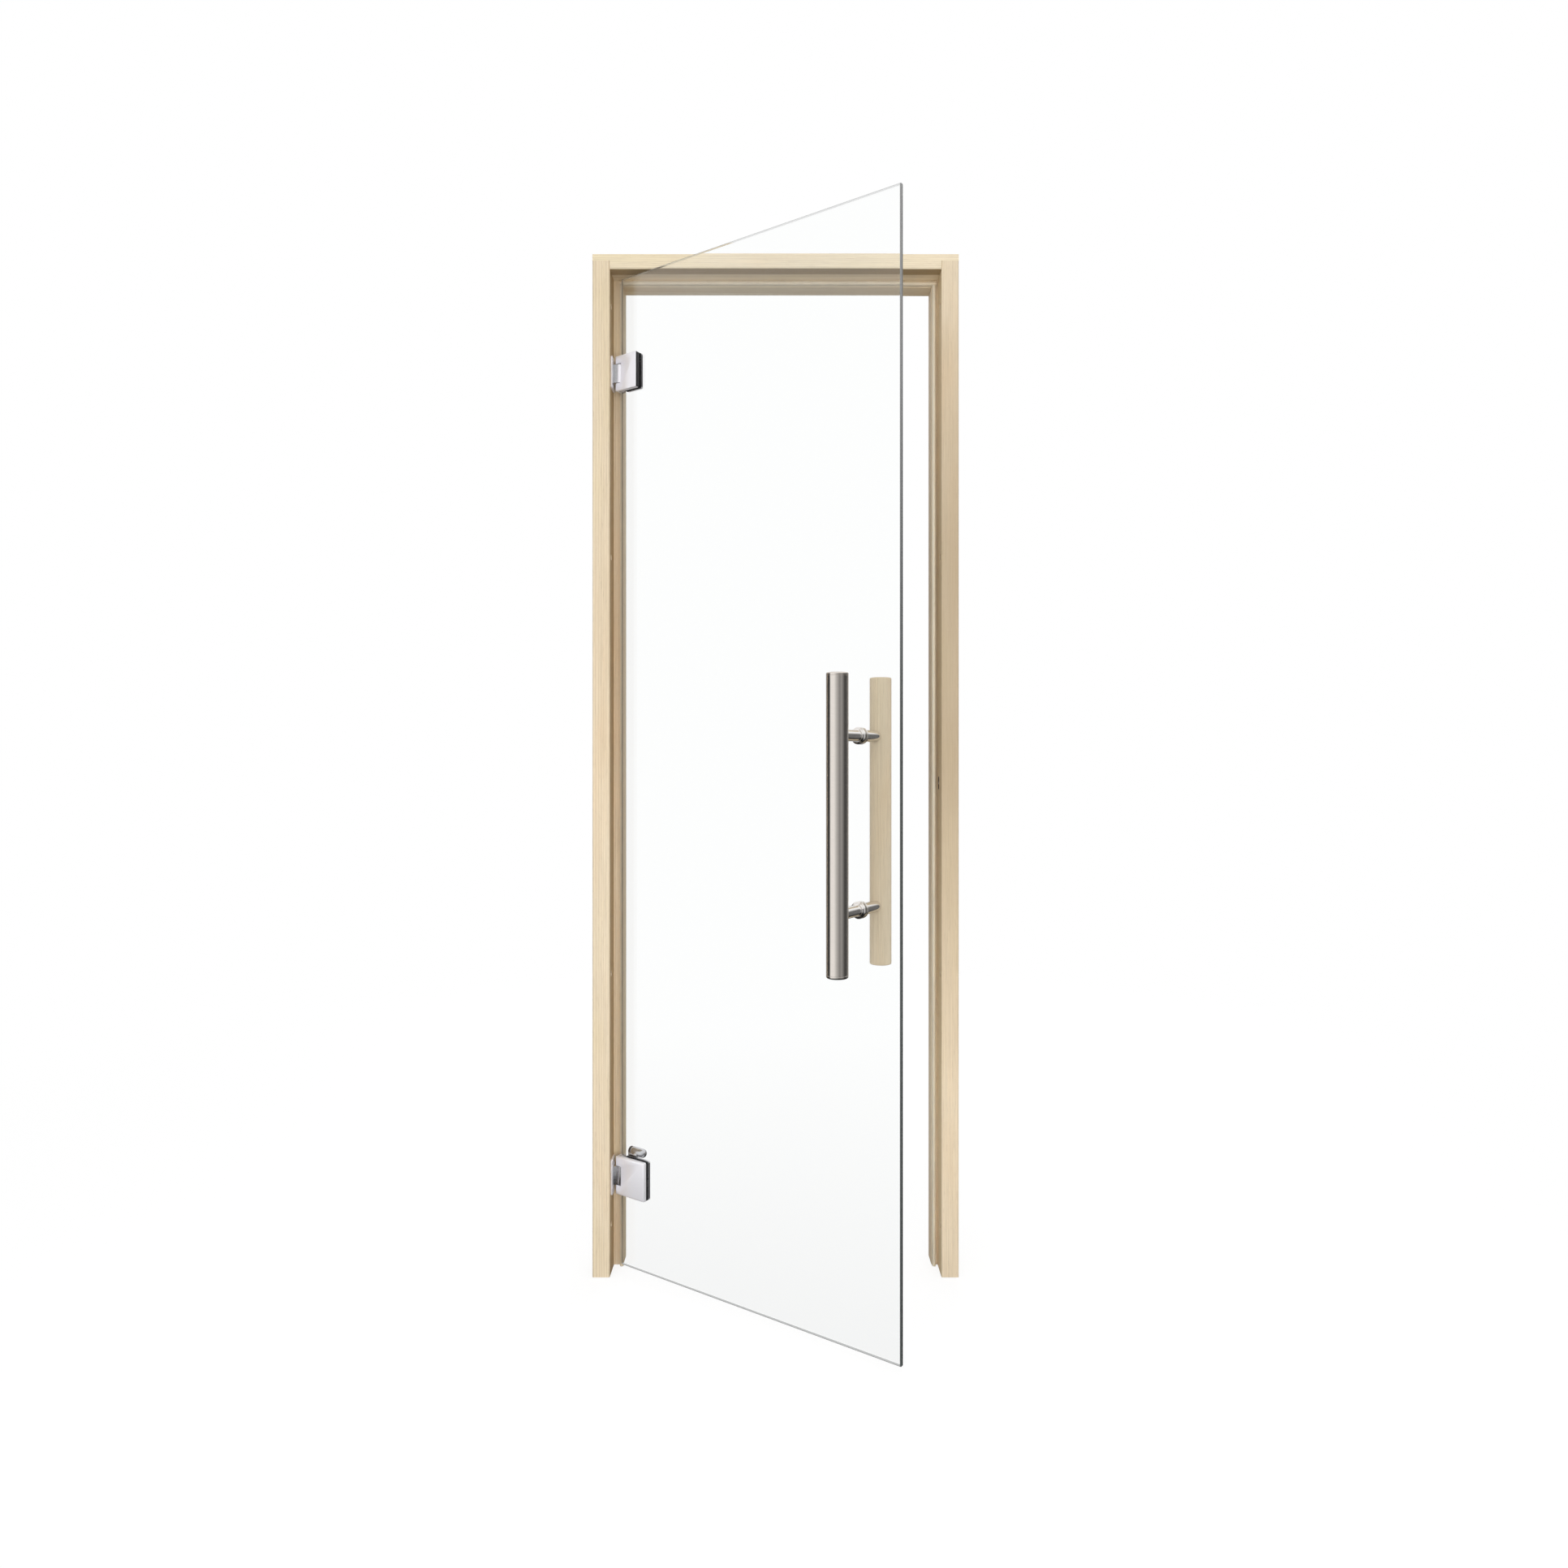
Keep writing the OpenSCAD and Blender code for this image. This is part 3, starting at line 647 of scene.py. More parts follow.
class Workpiece:
    """A new mesh on the bench, shaped with the modelling operators."""

    def __init__(self, name: str) -> None:
        """Takes up the primitive that was just added.

        Args:
            name: The piece's name.
        """
        self.thing = bpy.context.view_layer.objects.active
        self.thing.name = name
        self.thing.data.name = name
        bpy.ops.object.transform_apply(location=True, rotation=True, scale=True)

    @classmethod
    def block(cls, name: str, low: Point, high: Point) -> Workpiece:
        """Starts from a block between two corners.

        Args:
            name: The piece's name.
            low: The lowest corner.
            high: The highest corner.

        Returns:
            The new piece.
        """
        clear_bench()
        middle = [(a + b) / 2 * MM for a, b in zip(low, high)]
        spans = [(b - a) * MM for a, b in zip(low, high)]
        bpy.ops.mesh.primitive_cube_add(size=1, location=middle, scale=spans)
        return cls(name)

    @classmethod
    def rod(
        cls, name: str, foot: Point, way: Way, length: float, radius: float, tip: float | None = None, sides: int = 48
    ) -> Workpiece:
        """Starts from a round rod or a cone.

        Args:
            name: The piece's name.
            foot: The middle of its first end.
            way: Which way it points.
            length: Its length.
            radius: Its radius at the foot.
            tip: Its radius at the other end, if not the same.
            sides: How many sides it has.

        Returns:
            The new piece.
        """
        clear_bench()
        bpy.ops.mesh.primitive_cone_add(
            vertices=sides,
            radius1=radius * MM,
            radius2=(radius if tip is None else tip) * MM,
            depth=length * MM,
            location=(0, 0, length / 2 * MM),
        )
        piece = cls(name)
        piece.lay(way, foot)
        return piece

    @classmethod
    def turned(cls, name: str, profile: Sequence[tuple[float, float]], steps: int = 64) -> Workpiece:
        """Turns a profile about the Z axis, as on a lathe.

        Args:
            name: The piece's name.
            profile: Radius and height of each point, from axis to axis.
            steps: How many steps the turn has.

        Returns:
            The new piece.
        """
        clear_bench()
        (radius, height), *_ = profile
        bpy.ops.mesh.primitive_plane_add(size=MM, location=(radius * MM, 0, height * MM))
        piece = cls(name)
        bpy.context.tool_settings.mesh_select_mode = (True, False, False)
        bpy.ops.object.mode_set(mode="EDIT")
        bpy.ops.mesh.select_all(action="SELECT")
        bpy.ops.mesh.merge(type="CENTER")
        for (r0, h0), (r1, h1) in zip(profile, profile[1:]):
            step = ((r1 - r0) * MM, 0, (h1 - h0) * MM)
            bpy.ops.mesh.extrude_region_move(TRANSFORM_OT_translate={"value": step})
        bpy.ops.mesh.select_all(action="SELECT")
        bpy.ops.mesh.spin(steps=steps, angle=math.tau, center=(0, 0, 0), axis=(0, 0, 1))
        bpy.ops.mesh.select_all(action="SELECT")
        bpy.ops.mesh.remove_doubles(threshold=2e-6)
        bpy.ops.mesh.normals_make_consistent(inside=False)
        bpy.ops.object.mode_set(mode="OBJECT")
        return piece

    @classmethod
    def moulding(cls, name: str, outline: Sequence[tuple[float, float]], length: float) -> Workpiece:
        """Draws a closed outline on the ground and extrudes it along +Z.

        Args:
            name: The piece's name.
            outline: The X and Y of each corner, in order.
            length: How long the moulding is.

        Returns:
            The new piece.
        """
        clear_bench()
        (x, y), *_ = outline
        bpy.ops.mesh.primitive_plane_add(size=MM, location=(x * MM, y * MM, 0))
        piece = cls(name)
        bpy.context.tool_settings.mesh_select_mode = (True, False, False)
        bpy.ops.object.mode_set(mode="EDIT")
        bpy.ops.mesh.select_all(action="SELECT")
        bpy.ops.mesh.merge(type="CENTER")
        for (x0, y0), (x1, y1) in zip(outline, outline[1:]):
            step = ((x1 - x0) * MM, (y1 - y0) * MM, 0)
            bpy.ops.mesh.extrude_region_move(TRANSFORM_OT_translate={"value": step})
        bpy.ops.mesh.select_all(action="SELECT")
        bpy.ops.mesh.edge_face_add()
        bpy.ops.mesh.extrude_region_move(TRANSFORM_OT_translate={"value": (0, 0, length * MM)})
        bpy.ops.mesh.select_all(action="SELECT")
        bpy.ops.mesh.normals_make_consistent(inside=False)
        bpy.ops.object.mode_set(mode="OBJECT")
        return piece

    def hold(self) -> bpy.types.Object:
        """Makes this piece the only selected and active one.

        Returns:
            The piece's object.
        """
        clear_bench()
        self.thing.select_set(True)
        bpy.context.view_layer.objects.active = self.thing
        return self.thing

    def lay(self, way: Way, foot: Point) -> None:
        """Turns the piece from +Z to a way and moves its origin to a point.

        Args:
            way: Which way it is to point.
            foot: Where its origin goes.
        """
        thing = self.hold()
        thing.rotation_euler = way.value
        thing.location = Vector(foot) * MM
        bpy.ops.object.transform_apply(location=True, rotation=True, scale=True)

    def pick_faces(self, wanted: FaceTest) -> None:
        """Goes into edit mode with some faces selected.

        Args:
            wanted: Says of a face's middle, in millimetres, and its normal if it is wanted.
        """
        mesh = self.hold().data
        bpy.context.tool_settings.mesh_select_mode = (False, False, True)
        for group in (mesh.vertices, mesh.edges):
            group.foreach_set("select", [False] * len(group))
        for face in mesh.polygons:
            face.select = wanted(face.center / MM, face.normal)
        bpy.ops.object.mode_set(mode="EDIT")

    def pick_edges(self, wanted: EdgeTest) -> None:
        """Goes into edit mode with some edges selected.

        Args:
            wanted: Says of an edge's two ends, in millimetres, if it is wanted.
        """
        mesh = self.hold().data
        bpy.context.tool_settings.mesh_select_mode = (False, True, False)
        for group in (mesh.vertices, mesh.polygons):
            group.foreach_set("select", [False] * len(group))
        for edge in mesh.edges:
            start, end = (mesh.vertices[i] for i in edge.vertices)
            edge.select = wanted(start.co / MM, end.co / MM)
            if edge.select:
                start.select = end.select = True
        bpy.ops.object.mode_set(mode="EDIT")

    def round_edges(self, wanted: EdgeTest, radius: float, steps: int = 4) -> None:
        """Rounds some edges.

        Args:
            wanted: Picks the edges.
            radius: The rounding's radius.
            steps: How many facets the rounding has.
        """
        self.pick_edges(wanted)
        bpy.ops.mesh.bevel(offset=radius * MM, segments=steps, profile=0.5, affect="EDGES", clamp_overlap=True)
        bpy.ops.object.mode_set(mode="OBJECT")

    def draw_out(self, wanted: FaceTest, shift: Point) -> None:
        """Extrudes some faces.

        Args:
            wanted: Picks the faces.
            shift: How far they move.
        """
        self.pick_faces(wanted)
        bpy.ops.mesh.extrude_region_move(TRANSFORM_OT_translate={"value": Vector(shift) * MM})
        bpy.ops.object.mode_set(mode="OBJECT")

    def sink_panel(self, wanted: FaceTest, border: float, depth: float) -> None:
        """Insets some faces and sinks what is inside the border.

        Args:
            wanted: Picks the faces.
            border: The width of the border left.
            depth: How deep the panel goes, or how far it stands out if negative.
        """
        self.pick_faces(wanted)
        bpy.ops.mesh.inset(thickness=border * MM, depth=0)
        bpy.ops.mesh.inset(thickness=min(border, abs(depth)) * 0.5 * MM, depth=-depth * MM)
        bpy.ops.object.mode_set(mode="OBJECT")

    def split(self, at: Point, facing: Point) -> None:
        """Scores the piece all round along a plane.

        Args:
            at: A point on the plane.
            facing: The plane's normal.
        """
        self.pick_faces(lambda middle, normal: True)
        bpy.ops.mesh.bisect(plane_co=Vector(at) * MM, plane_no=facing)
        bpy.ops.object.mode_set(mode="OBJECT")

    def combine(self, other: Workpiece, how: str) -> None:
        """Cuts this piece with another one, or fuses the two.

        Args:
            other: The other piece, which is used up.
            how: DIFFERENCE, UNION or INTERSECT.
        """
        thing = self.hold()
        change = thing.modifiers.new("join", "BOOLEAN")
        change.operation = how
        change.solver = "EXACT"
        change.object = other.thing
        bpy.ops.object.modifier_apply(modifier=change.name)
        bpy.data.objects.remove(other.thing)

    def cut(self, *others: Workpiece) -> None:
        """Cuts this piece with others."""
        for other in others:
            self.combine(other, "DIFFERENCE")

    def trim(self, other: Workpiece) -> None:
        """Keeps only what lies within another piece as well."""
        self.combine(other, "INTERSECT")

    def fuse(self, *others: Workpiece) -> None:
        """Fuses others to this piece."""
        for other in others:
            self.combine(other, "UNION")

    def ease(
        self, width: float, steps: int = 2, angle: float = 35.0, material: int = -1, clamp: bool = True
    ) -> None:
        """Takes the sharpness off every edge that is sharper than an angle.

        Args:
            width: How wide the easing is.
            steps: How many facets it has.
            angle: The least angle that is eased, in degrees.
            material: The slot that the eased edges take, or -1 for their neighbours'.
            clamp: Whether short edges hold the easing back.
        """
        thing = self.hold()
        change = thing.modifiers.new("ease", "BEVEL")
        change.width = width * MM
        change.segments = steps
        change.limit_method = "ANGLE"
        change.angle_limit = math.radians(angle)
        change.material = material
        change.miter_outer = "MITER_ARC"
        change.use_clamp_overlap = clamp
        bpy.ops.object.modifier_apply(modifier=change.name)

    def copy(self, name: str) -> Workpiece:
        """Copies the piece with its own mesh.

        Args:
            name: The copy's name.

        Returns:
            The copy.
        """
        self.hold()
        bpy.ops.object.duplicate(linked=False)
        return Workpiece(name)

    def gather(self, others: Iterable[Workpiece]) -> None:
        """Joins other loose pieces to this one without fusing them.

        Args:
            others: The pieces that are used up.
        """
        others = list(others)
        thing = self.hold()
        for other in others:
            other.thing.select_set(True)
        bpy.context.view_layer.objects.active = thing
        bpy.ops.object.join()

    def paint(self, finish: Timber | Metal | Moulded | Glass | GroundGlass, wanted: FaceTest | None = None) -> None:
        """Gives the piece, or some of its faces, a finish.

        Args:
            finish: The finish.
            wanted: Picks the faces; all of them if it is left out.
        """
        mesh = self.thing.data
        material = RACK.get(finish)
        if material.name not in mesh.materials:
            mesh.materials.append(material)
        index = mesh.materials.find(material.name)
        for face in mesh.polygons:
            if wanted is None or wanted(face.center / MM, face.normal):
                face.material_index = index

    def hand_over(self, body: Body, slot: str, *nodes: str, smooth: float = 32.0) -> None:
        """Smooths the finished piece and hangs it on its body.

        Args:
            body: The body that it rides on.
            slot: The record's material slot; not used.
            nodes: The CAD nodes that it stands for.
            smooth: The angle up to which neighbouring faces are shaded smooth.
        """
        thing = self.hold()
        bpy.ops.object.shade_smooth_by_angle(angle=math.radians(smooth))
        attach(thing, body.value)
        if nodes:
            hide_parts(*nodes)
        LOG.info("%s: %d faces, for %s", thing.name, len(thing.data.polygons), ", ".join(nodes) or "no node")


def dress(frame: dict, finish: Timber | Metal | Moulded | Glass | GroundGlass, *nodes: str) -> None:
    """Gives CAD nodes that stay their finish.

    Args:
        finish: The finish.
        nodes: The nodes' names.
    """
    for name in nodes:
        mesh = frame["nodes"][name].data
        mesh.materials.clear()
        mesh.materials.append(RACK.get(finish))
        LOG.info("%s: dressed in %s", name, finish.name)


@dataclass(frozen=True)
class Hanging:
    """Where the leaf hangs: the pins' line and the angle that it stands open."""

    pin_x: float
    pin_y: float
    angle: float

    @classmethod
    def read(cls, frame: dict) -> Hanging:
        """Reads the pins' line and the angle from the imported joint.


        Returns:
            The hanging.
        """
        swing = frame["joints"][0]
        x, y, _ = (value / MM for value in swing["pos_m"])
        return cls(x, y, math.radians(swing["range_deg"][0]))

    def swing(self, piece: Workpiece) -> None:
        """Moves a piece from the closed leaf's own axes to where the leaf stands.

        Args:
            piece: The piece, modelled with the pins' line at the origin.
        """
        thing = piece.hold()
        thing.rotation_euler = (0, 0, self.angle)
        thing.location = (self.pin_x * MM, self.pin_y * MM, 0)
        bpy.ops.object.transform_apply(location=True, rotation=True, scale=True)


# The frame


@dataclass
class TimberFrame:
    """The three-sided softwood frame with its rebate, stop and corner screws."""

    depth: float = 90.0
    rebate: float = 50.0
    head_top: float = 1900.0
    corner_x: tuple[float, float] = (16.0, 664.0)
    corner_y: tuple[float, float] = (-23.0, 23.0)
    screw: "Screw" = field(default_factory=lambda: Screw(5.0, 3.0, 2.5, 58.0, 1.75))

    def build(self, frame: dict) -> None:
        """Dresses the timber and makes the corner screws.
        """
        dress(frame, JAMB_TIMBER, "hinge_jamb")
        dress(frame, STRIKE_TIMBER, "strike_jamb")
        dress(frame, HEAD_TIMBER, "head_rail")
        for side, x in zip(("hinge", "strike"), self.corner_x):
            places = [(x, y, self.head_top) for y in self.corner_y]
            screws = self.screw.drive(f"{side}_corner_pair", places, Way.AGAINST_Z)
            screws.paint(SCREW_STEEL)
            screws.hand_over(Body.FRAME, "screw_steel", f"{side}_corner_screws")


@dataclass
class Seals:
    """The hollow silicone seals pressed on the stops."""

    width: float = 7.0
    reach: float = 8.0
    wall: float = 1.2
    stop_y: float = 5.0
    hinge_x: float = 44.0
    strike_x: float = 637.0
    head_z: float = 1861.0

    def build(self) -> None:
        """Makes the two upright seals and the one under the head."""
        for name, x in (("hinge_side_seal", self.hinge_x), ("strike_side_seal", self.strike_x)):
            seal = self.strip(name + "_bulb", self.head_z, SILICONE)
            seal.lay(Way.ALONG_Z, (x, self.stop_y, 0))
            seal.hand_over(Body.FRAME, "silicone", name)
        length = self.strike_x + self.width - self.hinge_x
        seal = self.strip("head_seal_bulb", length, SHADED_SILICONE)
        seal.lay(Way.ALONG_X, (self.hinge_x, self.stop_y, self.head_z + self.width))
        seal.hand_over(Body.FRAME, "silicone", "head_seal")

    def strip(self, name: str, length: float, finish: Moulded) -> Workpiece:
        """Makes a length of seal along +Z, with its foot on Y = 0 and its bulb towards -Y.

        Args:
            name: The piece's name.
            length: Its length.
            finish: Its finish.

        Returns:
            The strip.
        """
        half, wall = self.width / 2, self.wall
        nose_y = half - self.reach
        turns = [math.radians(step) for step in range(180, 361, 15)]
        bulb = [(half + half * math.cos(turn), nose_y + half * math.sin(turn)) for turn in turns]
        inside = [(half + (half - wall) * math.cos(turn), nose_y + (half - wall) * math.sin(turn)) for turn in turns]
        slit = half - 0.5
        outline = [(slit, 0), (0, 0), *bulb, (self.width, 0), (self.width - slit, 0), (self.width - slit, -wall)]
        outline += [(self.width - wall, -wall), *reversed(inside), (wall, -wall), (slit, -wall)]
        strip = Workpiece.moulding(name, outline, length)
        strip.paint(finish)
        return strip


@dataclass
class StrikeCatch:
    """The small magnetic catch let into the strike jamb's rebate."""

    low: Point = (648.0, -15.0, 905.0)
    high: Point = (657.0, -3.0, 929.0)

    def build(self) -> None:
        """Makes the catch with its sunk face and its magnet."""
        catch = Workpiece.block("strike_catch_body", self.low, self.high)
        catch.round_edges(lambda a, b: abs(a.x - b.x) > 5, 1.5)
        catch.sink_panel(lambda middle, normal: normal.x < -0.9, 1.2, 0.8)
        catch.ease(0.3, 2)
        middle = ((self.low[1] + self.high[1]) / 2, (self.low[2] + self.high[2]) / 2)
        magnet = Workpiece.rod("magnet", (self.low[0] + 0.2, *middle), Way.ALONG_X, 3, 3.2)
        magnet.ease(0.3, 2)
        catch.paint(CATCH_PLASTIC)
        magnet.paint(SCREW_STEEL)
        catch.gather([magnet])
        catch.hand_over(Body.FRAME, "catch_plastic", "strike_catch")


@dataclass(frozen=True)
class Screw:
    """A countersunk socket screw."""

    head_r: float
    head_h: float
    shank_r: float
    length: float
    socket_r: float
    rim: float = 0.25

    def drive(self, name: str, places: Sequence[Point], way: Way) -> Workpiece:
        """Makes one screw and copies it to each place.

        Args:
            name: The name of the set.
            places: Where each head's top lies.
            way: Which way the screws point.

        Returns:
            The set as one piece.
        """
        pattern = Workpiece.turned(
            name,
            (
                (0, 0),
                (self.head_r - 2 * self.rim, 0),
                (self.head_r, self.rim),
                (self.shank_r, self.head_h),
                (self.shank_r, self.length - 2),
                (self.shank_r * 0.4, self.length),
                (0, self.length),
            ),
            32,
        )
        depth = self.head_h * 0.75
        pattern.cut(Workpiece.rod("socket", (0, 0, -1), Way.ALONG_Z, depth + 1, self.socket_r, sides=6))
        copies = [pattern.copy(f"{name}_{index}") for index in range(1, len(places))]
        for screw, place in zip((pattern, *copies), places):
            screw.lay(way, place)
        pattern.gather(copies)
        return pattern


# The leaf


@dataclass
class GlassLeaf:
    """The frameless leaf of toughened glass, notched and drilled for its fittings."""

    hinge_edge: float = -1.0
    free_edge: float = 594.5
    front: float = 1.5
    thickness: float = 8.0
    foot: float = 10.0
    top: float = 1866.0
    notch_depth: float = 8.5
    notch_round: float = 1.5
    corner: float = 2.5
    arris: float = 2.2

    def build(self, hanging: Hanging, notches: Iterable[tuple[float, float]], holes: Iterable[Point]) -> None:
        """Makes the leaf.

        Args:
            hanging: Where the leaf hangs.
            notches: The middle and half height of each notch.
            holes: Along, height and radius of each drilled hole.
        """
        back = self.front + self.thickness
        leaf = Workpiece.block(
            "leaf_glass", (self.hinge_edge, self.front, self.foot), (self.free_edge, back, self.top)
        )
        leaf.round_edges(lambda a, b: abs(a.y - b.y) > 1, self.corner)
        leaf.paint(CLEAR_GLASS)
        leaf.paint(ARRIS_GLASS, lambda middle, normal: False)
        leaf.ease(self.arris, 1, 70, material=1, clamp=False)
        for middle, half in notches:
            notch = Workpiece.block(
                "notch",
                (self.hinge_edge - 5, self.front - 1, middle - half),
                (self.notch_depth, back + 1, middle + half),
            )
            notch.round_edges(
                lambda a, b: abs(a.y - b.y) > 1 and min(a.x, b.x) > self.notch_depth - TINY, self.notch_round
            )
            leaf.cut(notch)
        for x, z, radius in holes:
            leaf.cut(Workpiece.rod("drill", (x, self.front - 1, z), Way.ALONG_Y, self.thickness + 2, radius))
        leaf.paint(EDGE_GLASS, lambda middle, normal: abs(normal.y) < 0.5)
        # Painted light on the top edge and painted shade on the foot.
        leaf.paint(LIT_TOP_EDGE, lambda middle, normal: normal.z > 0.5 and middle.z > self.top - self.corner)
        leaf.paint(SHADED_FOOT_EDGE, lambda middle, normal: normal.z < -0.5 and middle.z < self.foot + self.corner)
        # Painted light on the hinge edge.
        leaf.paint(LIGHTENED_HINGE_EDGE, lambda middle, normal: normal.x < -0.5 and middle.x < self.notch_depth + self.arris)
        hanging.swing(leaf)
        leaf.hand_over(Body.DOOR, "clear_glass", "glass_leaf", smooth=20)


@dataclass
class Hinge:
    """One hinge: the bracket and knuckle on the jamb, and the two plates that clamp the glass."""

    name: str
    middle: float
    height: float
    plate_l: float
    front_round: float = 1.6
    # Whether the outer plate's free end is painted dark as a reflection.
    end_painted_dark: bool = True
    has_closer: bool = False
    lug_half: float = 7.0
    outer_t: float = 7.0
    inner_y: float = 11.0
    inner_t: float = 5.0
    clamp_start: float = 8.5
    corner: float = 3.0
    pin_bore: float = 3.05
    jamb_x: float = 32.0
    bracket_t: float = 3.0
    bracket_w: float = 32.0
    bracket_short: float = 6.0
    web: float = 9.0
    knuckle_r: float = 6.5
    knuckle_h: float = 34.0
    knuckle_clear: float = 1.0
    window_half: float = 18.3
    clamp_end: float = 16.0
    clamp_bore: float = 7.0
    bracket_side: float = 10.5
    bracket_end: float = 8.0
    closer_r: float = 8.0
    closer_l: float = 38.0

    @property
    def clamp_x(self) -> float:
        """How far along the leaf the clamp screws lie."""
        return (self.clamp_start + self.plate_l) / 2

    @property
    def clamp_heights(self) -> tuple[float, float]:
        """The heights of the two clamp screws."""
        offset = self.height / 2 - self.clamp_end
        return self.middle - offset, self.middle + offset

    def build(self, frame: dict, hanging: Hanging) -> None:
        """Makes the hinge's plates, bracket and screws and dresses the rest.

        Args:
            hanging: Where the leaf hangs.
        """
        self.outer_plate(hanging)
        self.inner_plate(hanging)
        self.clamp_screws(hanging)
        self.bracket(hanging)
        self.bracket_screws(hanging)
        if self.has_closer:
            self.closer(hanging)
        dress(frame, RUBBER, f"{self.name}_outer_gasket", f"{self.name}_inner_gasket")
        dress(frame, NYLON, f"{self.name}_hinge_washers")
        dress(frame, SCREW_STEEL, f"{self.name}_hinge_pin")

    def outer_plate(self, hanging: Hanging) -> None:
        """Makes the plate that shows outside, with its two lugs round the knuckle.

        Args:
            hanging: Where the leaf hangs.
        """
        half, lug, mid = self.height / 2, self.lug_half, self.middle
        foot, top = mid - half, mid + half
        plate = Workpiece.block(f"{self.name}_outer_clamp", (-lug, -lug, foot), (self.plate_l, self.outer_t - lug, top))
        plate.split((lug, 0, 0), (1, 0, 0))
        plate.draw_out(lambda middle, normal: normal.y > 0.9 and middle.x < lug, (0, 2 * lug - self.outer_t, 0))
        plate.round_edges(
            lambda a, b: max(a.y, b.y) < TINY - lug and max(abs(a.x - lug), abs(b.x - lug)) > TINY, self.front_round, 5
        )
        plate.round_edges(lambda a, b: abs(a.z - b.z) > 1 and min(a.y, b.y) > lug - TINY, self.corner, 5)
        spare = 0.02
        outline = Workpiece.block(
            "outline", (-lug - spare, -lug - 1, foot - spare), (self.plate_l + spare, lug + 1, top + spare)
        )
        outline.round_edges(lambda a, b: abs(a.y - b.y) > 1, self.corner, 5)
        plate.trim(outline)
        window = Workpiece.block(
            "window",
            (-lug - 1, -lug - 1, mid - self.window_half),
            (self.knuckle_r + self.knuckle_clear, lug + 1, mid + self.window_half),
        )
        window.round_edges(lambda a, b: abs(a.y - b.y) > 1 and min(a.x, b.x) > 0, 1.2)
        bore = Workpiece.rod("bore", (0, 0, foot - 1), Way.ALONG_Z, self.height + 2, self.pin_bore)
        plate.cut(window, bore)
        plate.ease(0.4, 2, 40)
        plate.paint(SATIN_CHROME)
        # Painted dark reflection on the plate's free end.
        if self.end_painted_dark:
            plate.paint(ENDS_PAINTED_DARK, lambda middle, normal: normal.x > 0.3 and middle.x > self.plate_l - self.front_round)
        hanging.swing(plate)
        plate.hand_over(Body.DOOR, "satin_chrome", f"{self.name}_outer_plate")

    def inner_plate(self, hanging: Hanging) -> None:
        """Makes the plate inside the room, countersunk for the clamp screws.

        Args:
            hanging: Where the leaf hangs.
        """
        half, mid = self.height / 2, self.middle
        face = self.inner_y + self.inner_t
        plate = Workpiece.block(
            f"{self.name}_inner_clamp", (self.clamp_start, self.inner_y, mid - half), (self.plate_l, face, mid + half)
        )
        plate.round_edges(lambda a, b: abs(a.y - b.y) > 1, self.corner, 5)
        plate.round_edges(lambda a, b: min(a.y, b.y) > face - TINY, 1.6)
        for z in self.clamp_heights:
            plate.cut(Workpiece.rod("sink", (self.clamp_x, face + 0.5, z), Way.AGAINST_Y, 3.9, 6.1, 3.0))
        plate.ease(0.3, 2)
        plate.paint(SATIN_CHROME)
        # Painted dark reflection on the inner plate's end.
        plate.paint(ENDS_PAINTED_DARK, lambda middle, normal: normal.x > 0.9 and middle.x > self.plate_l - TINY)
        hanging.swing(plate)
        plate.hand_over(Body.DOOR, "satin_chrome", f"{self.name}_inner_plate")

    def clamp_screws(self, hanging: Hanging) -> None:
        """Makes the screws that draw the two plates together.

        Args:
            hanging: Where the leaf hangs.
        """
        face = self.inner_y + self.inner_t
        screw = Screw(5.4, 3.0, 3.0, face + self.lug_half - self.outer_t / 2, 2.3)
        places = [(self.clamp_x, face - 0.1, z) for z in self.clamp_heights]
        screws = screw.drive(f"{self.name}_clamp_pair", places, Way.AGAINST_Y)
        screws.paint(SCREW_STEEL)
        hanging.swing(screws)
        screws.hand_over(Body.DOOR, "screw_steel", f"{self.name}_clamp_screws")

    def bracket_places(self, hanging: Hanging) -> list[Point]:
        """Where the bracket's four screws lie.

        Args:
            hanging: Where the leaf hangs.

        Returns:
            The four points on the bracket's face.
        """
        end = (self.height - self.bracket_short) / 2 - self.bracket_end
        return [
            (self.jamb_x + self.bracket_t, hanging.pin_y + side, self.middle + rise)
            for side in (-self.bracket_side, self.bracket_side)
            for rise in (-end, end)
        ]

    def bracket(self, hanging: Hanging) -> None:
        """Makes the bracket: its plate on the jamb, its web and the knuckle.

        Args:
            hanging: Where the leaf hangs.
        """
        half = (self.height - self.bracket_short) / 2
        side, knuckle = self.bracket_w / 2, self.knuckle_h / 2
        x, y, mid = hanging.pin_x, hanging.pin_y, self.middle
        bracket = Workpiece.block(
            f"{self.name}_bracket", (self.jamb_x, y - side, mid - half), (self.jamb_x + self.bracket_t, y + side, mid + half)
        )
        bracket.round_edges(lambda a, b: abs(a.x - b.x) > 1, self.corner, 5)
        bracket.fuse(
            Workpiece.block("web", (self.jamb_x + 1, y - self.web / 2, mid - knuckle), (x, y + self.web / 2, mid + knuckle)),
            Workpiece.rod("knuckle", (x, y, mid - knuckle), Way.ALONG_Z, self.knuckle_h, self.knuckle_r),
        )
        bracket.cut(Workpiece.rod("bore", (x, y, mid - knuckle - 1), Way.ALONG_Z, self.knuckle_h + 2, self.pin_bore))
        for place in self.bracket_places(hanging):
            face = (place[0] + 0.5, place[1], place[2])
            bracket.cut(Workpiece.rod("sink", face, Way.AGAINST_X, 4, 4.3, 2.1))
        bracket.ease(0.3, 2)
        bracket.paint(SATIN_CHROME)
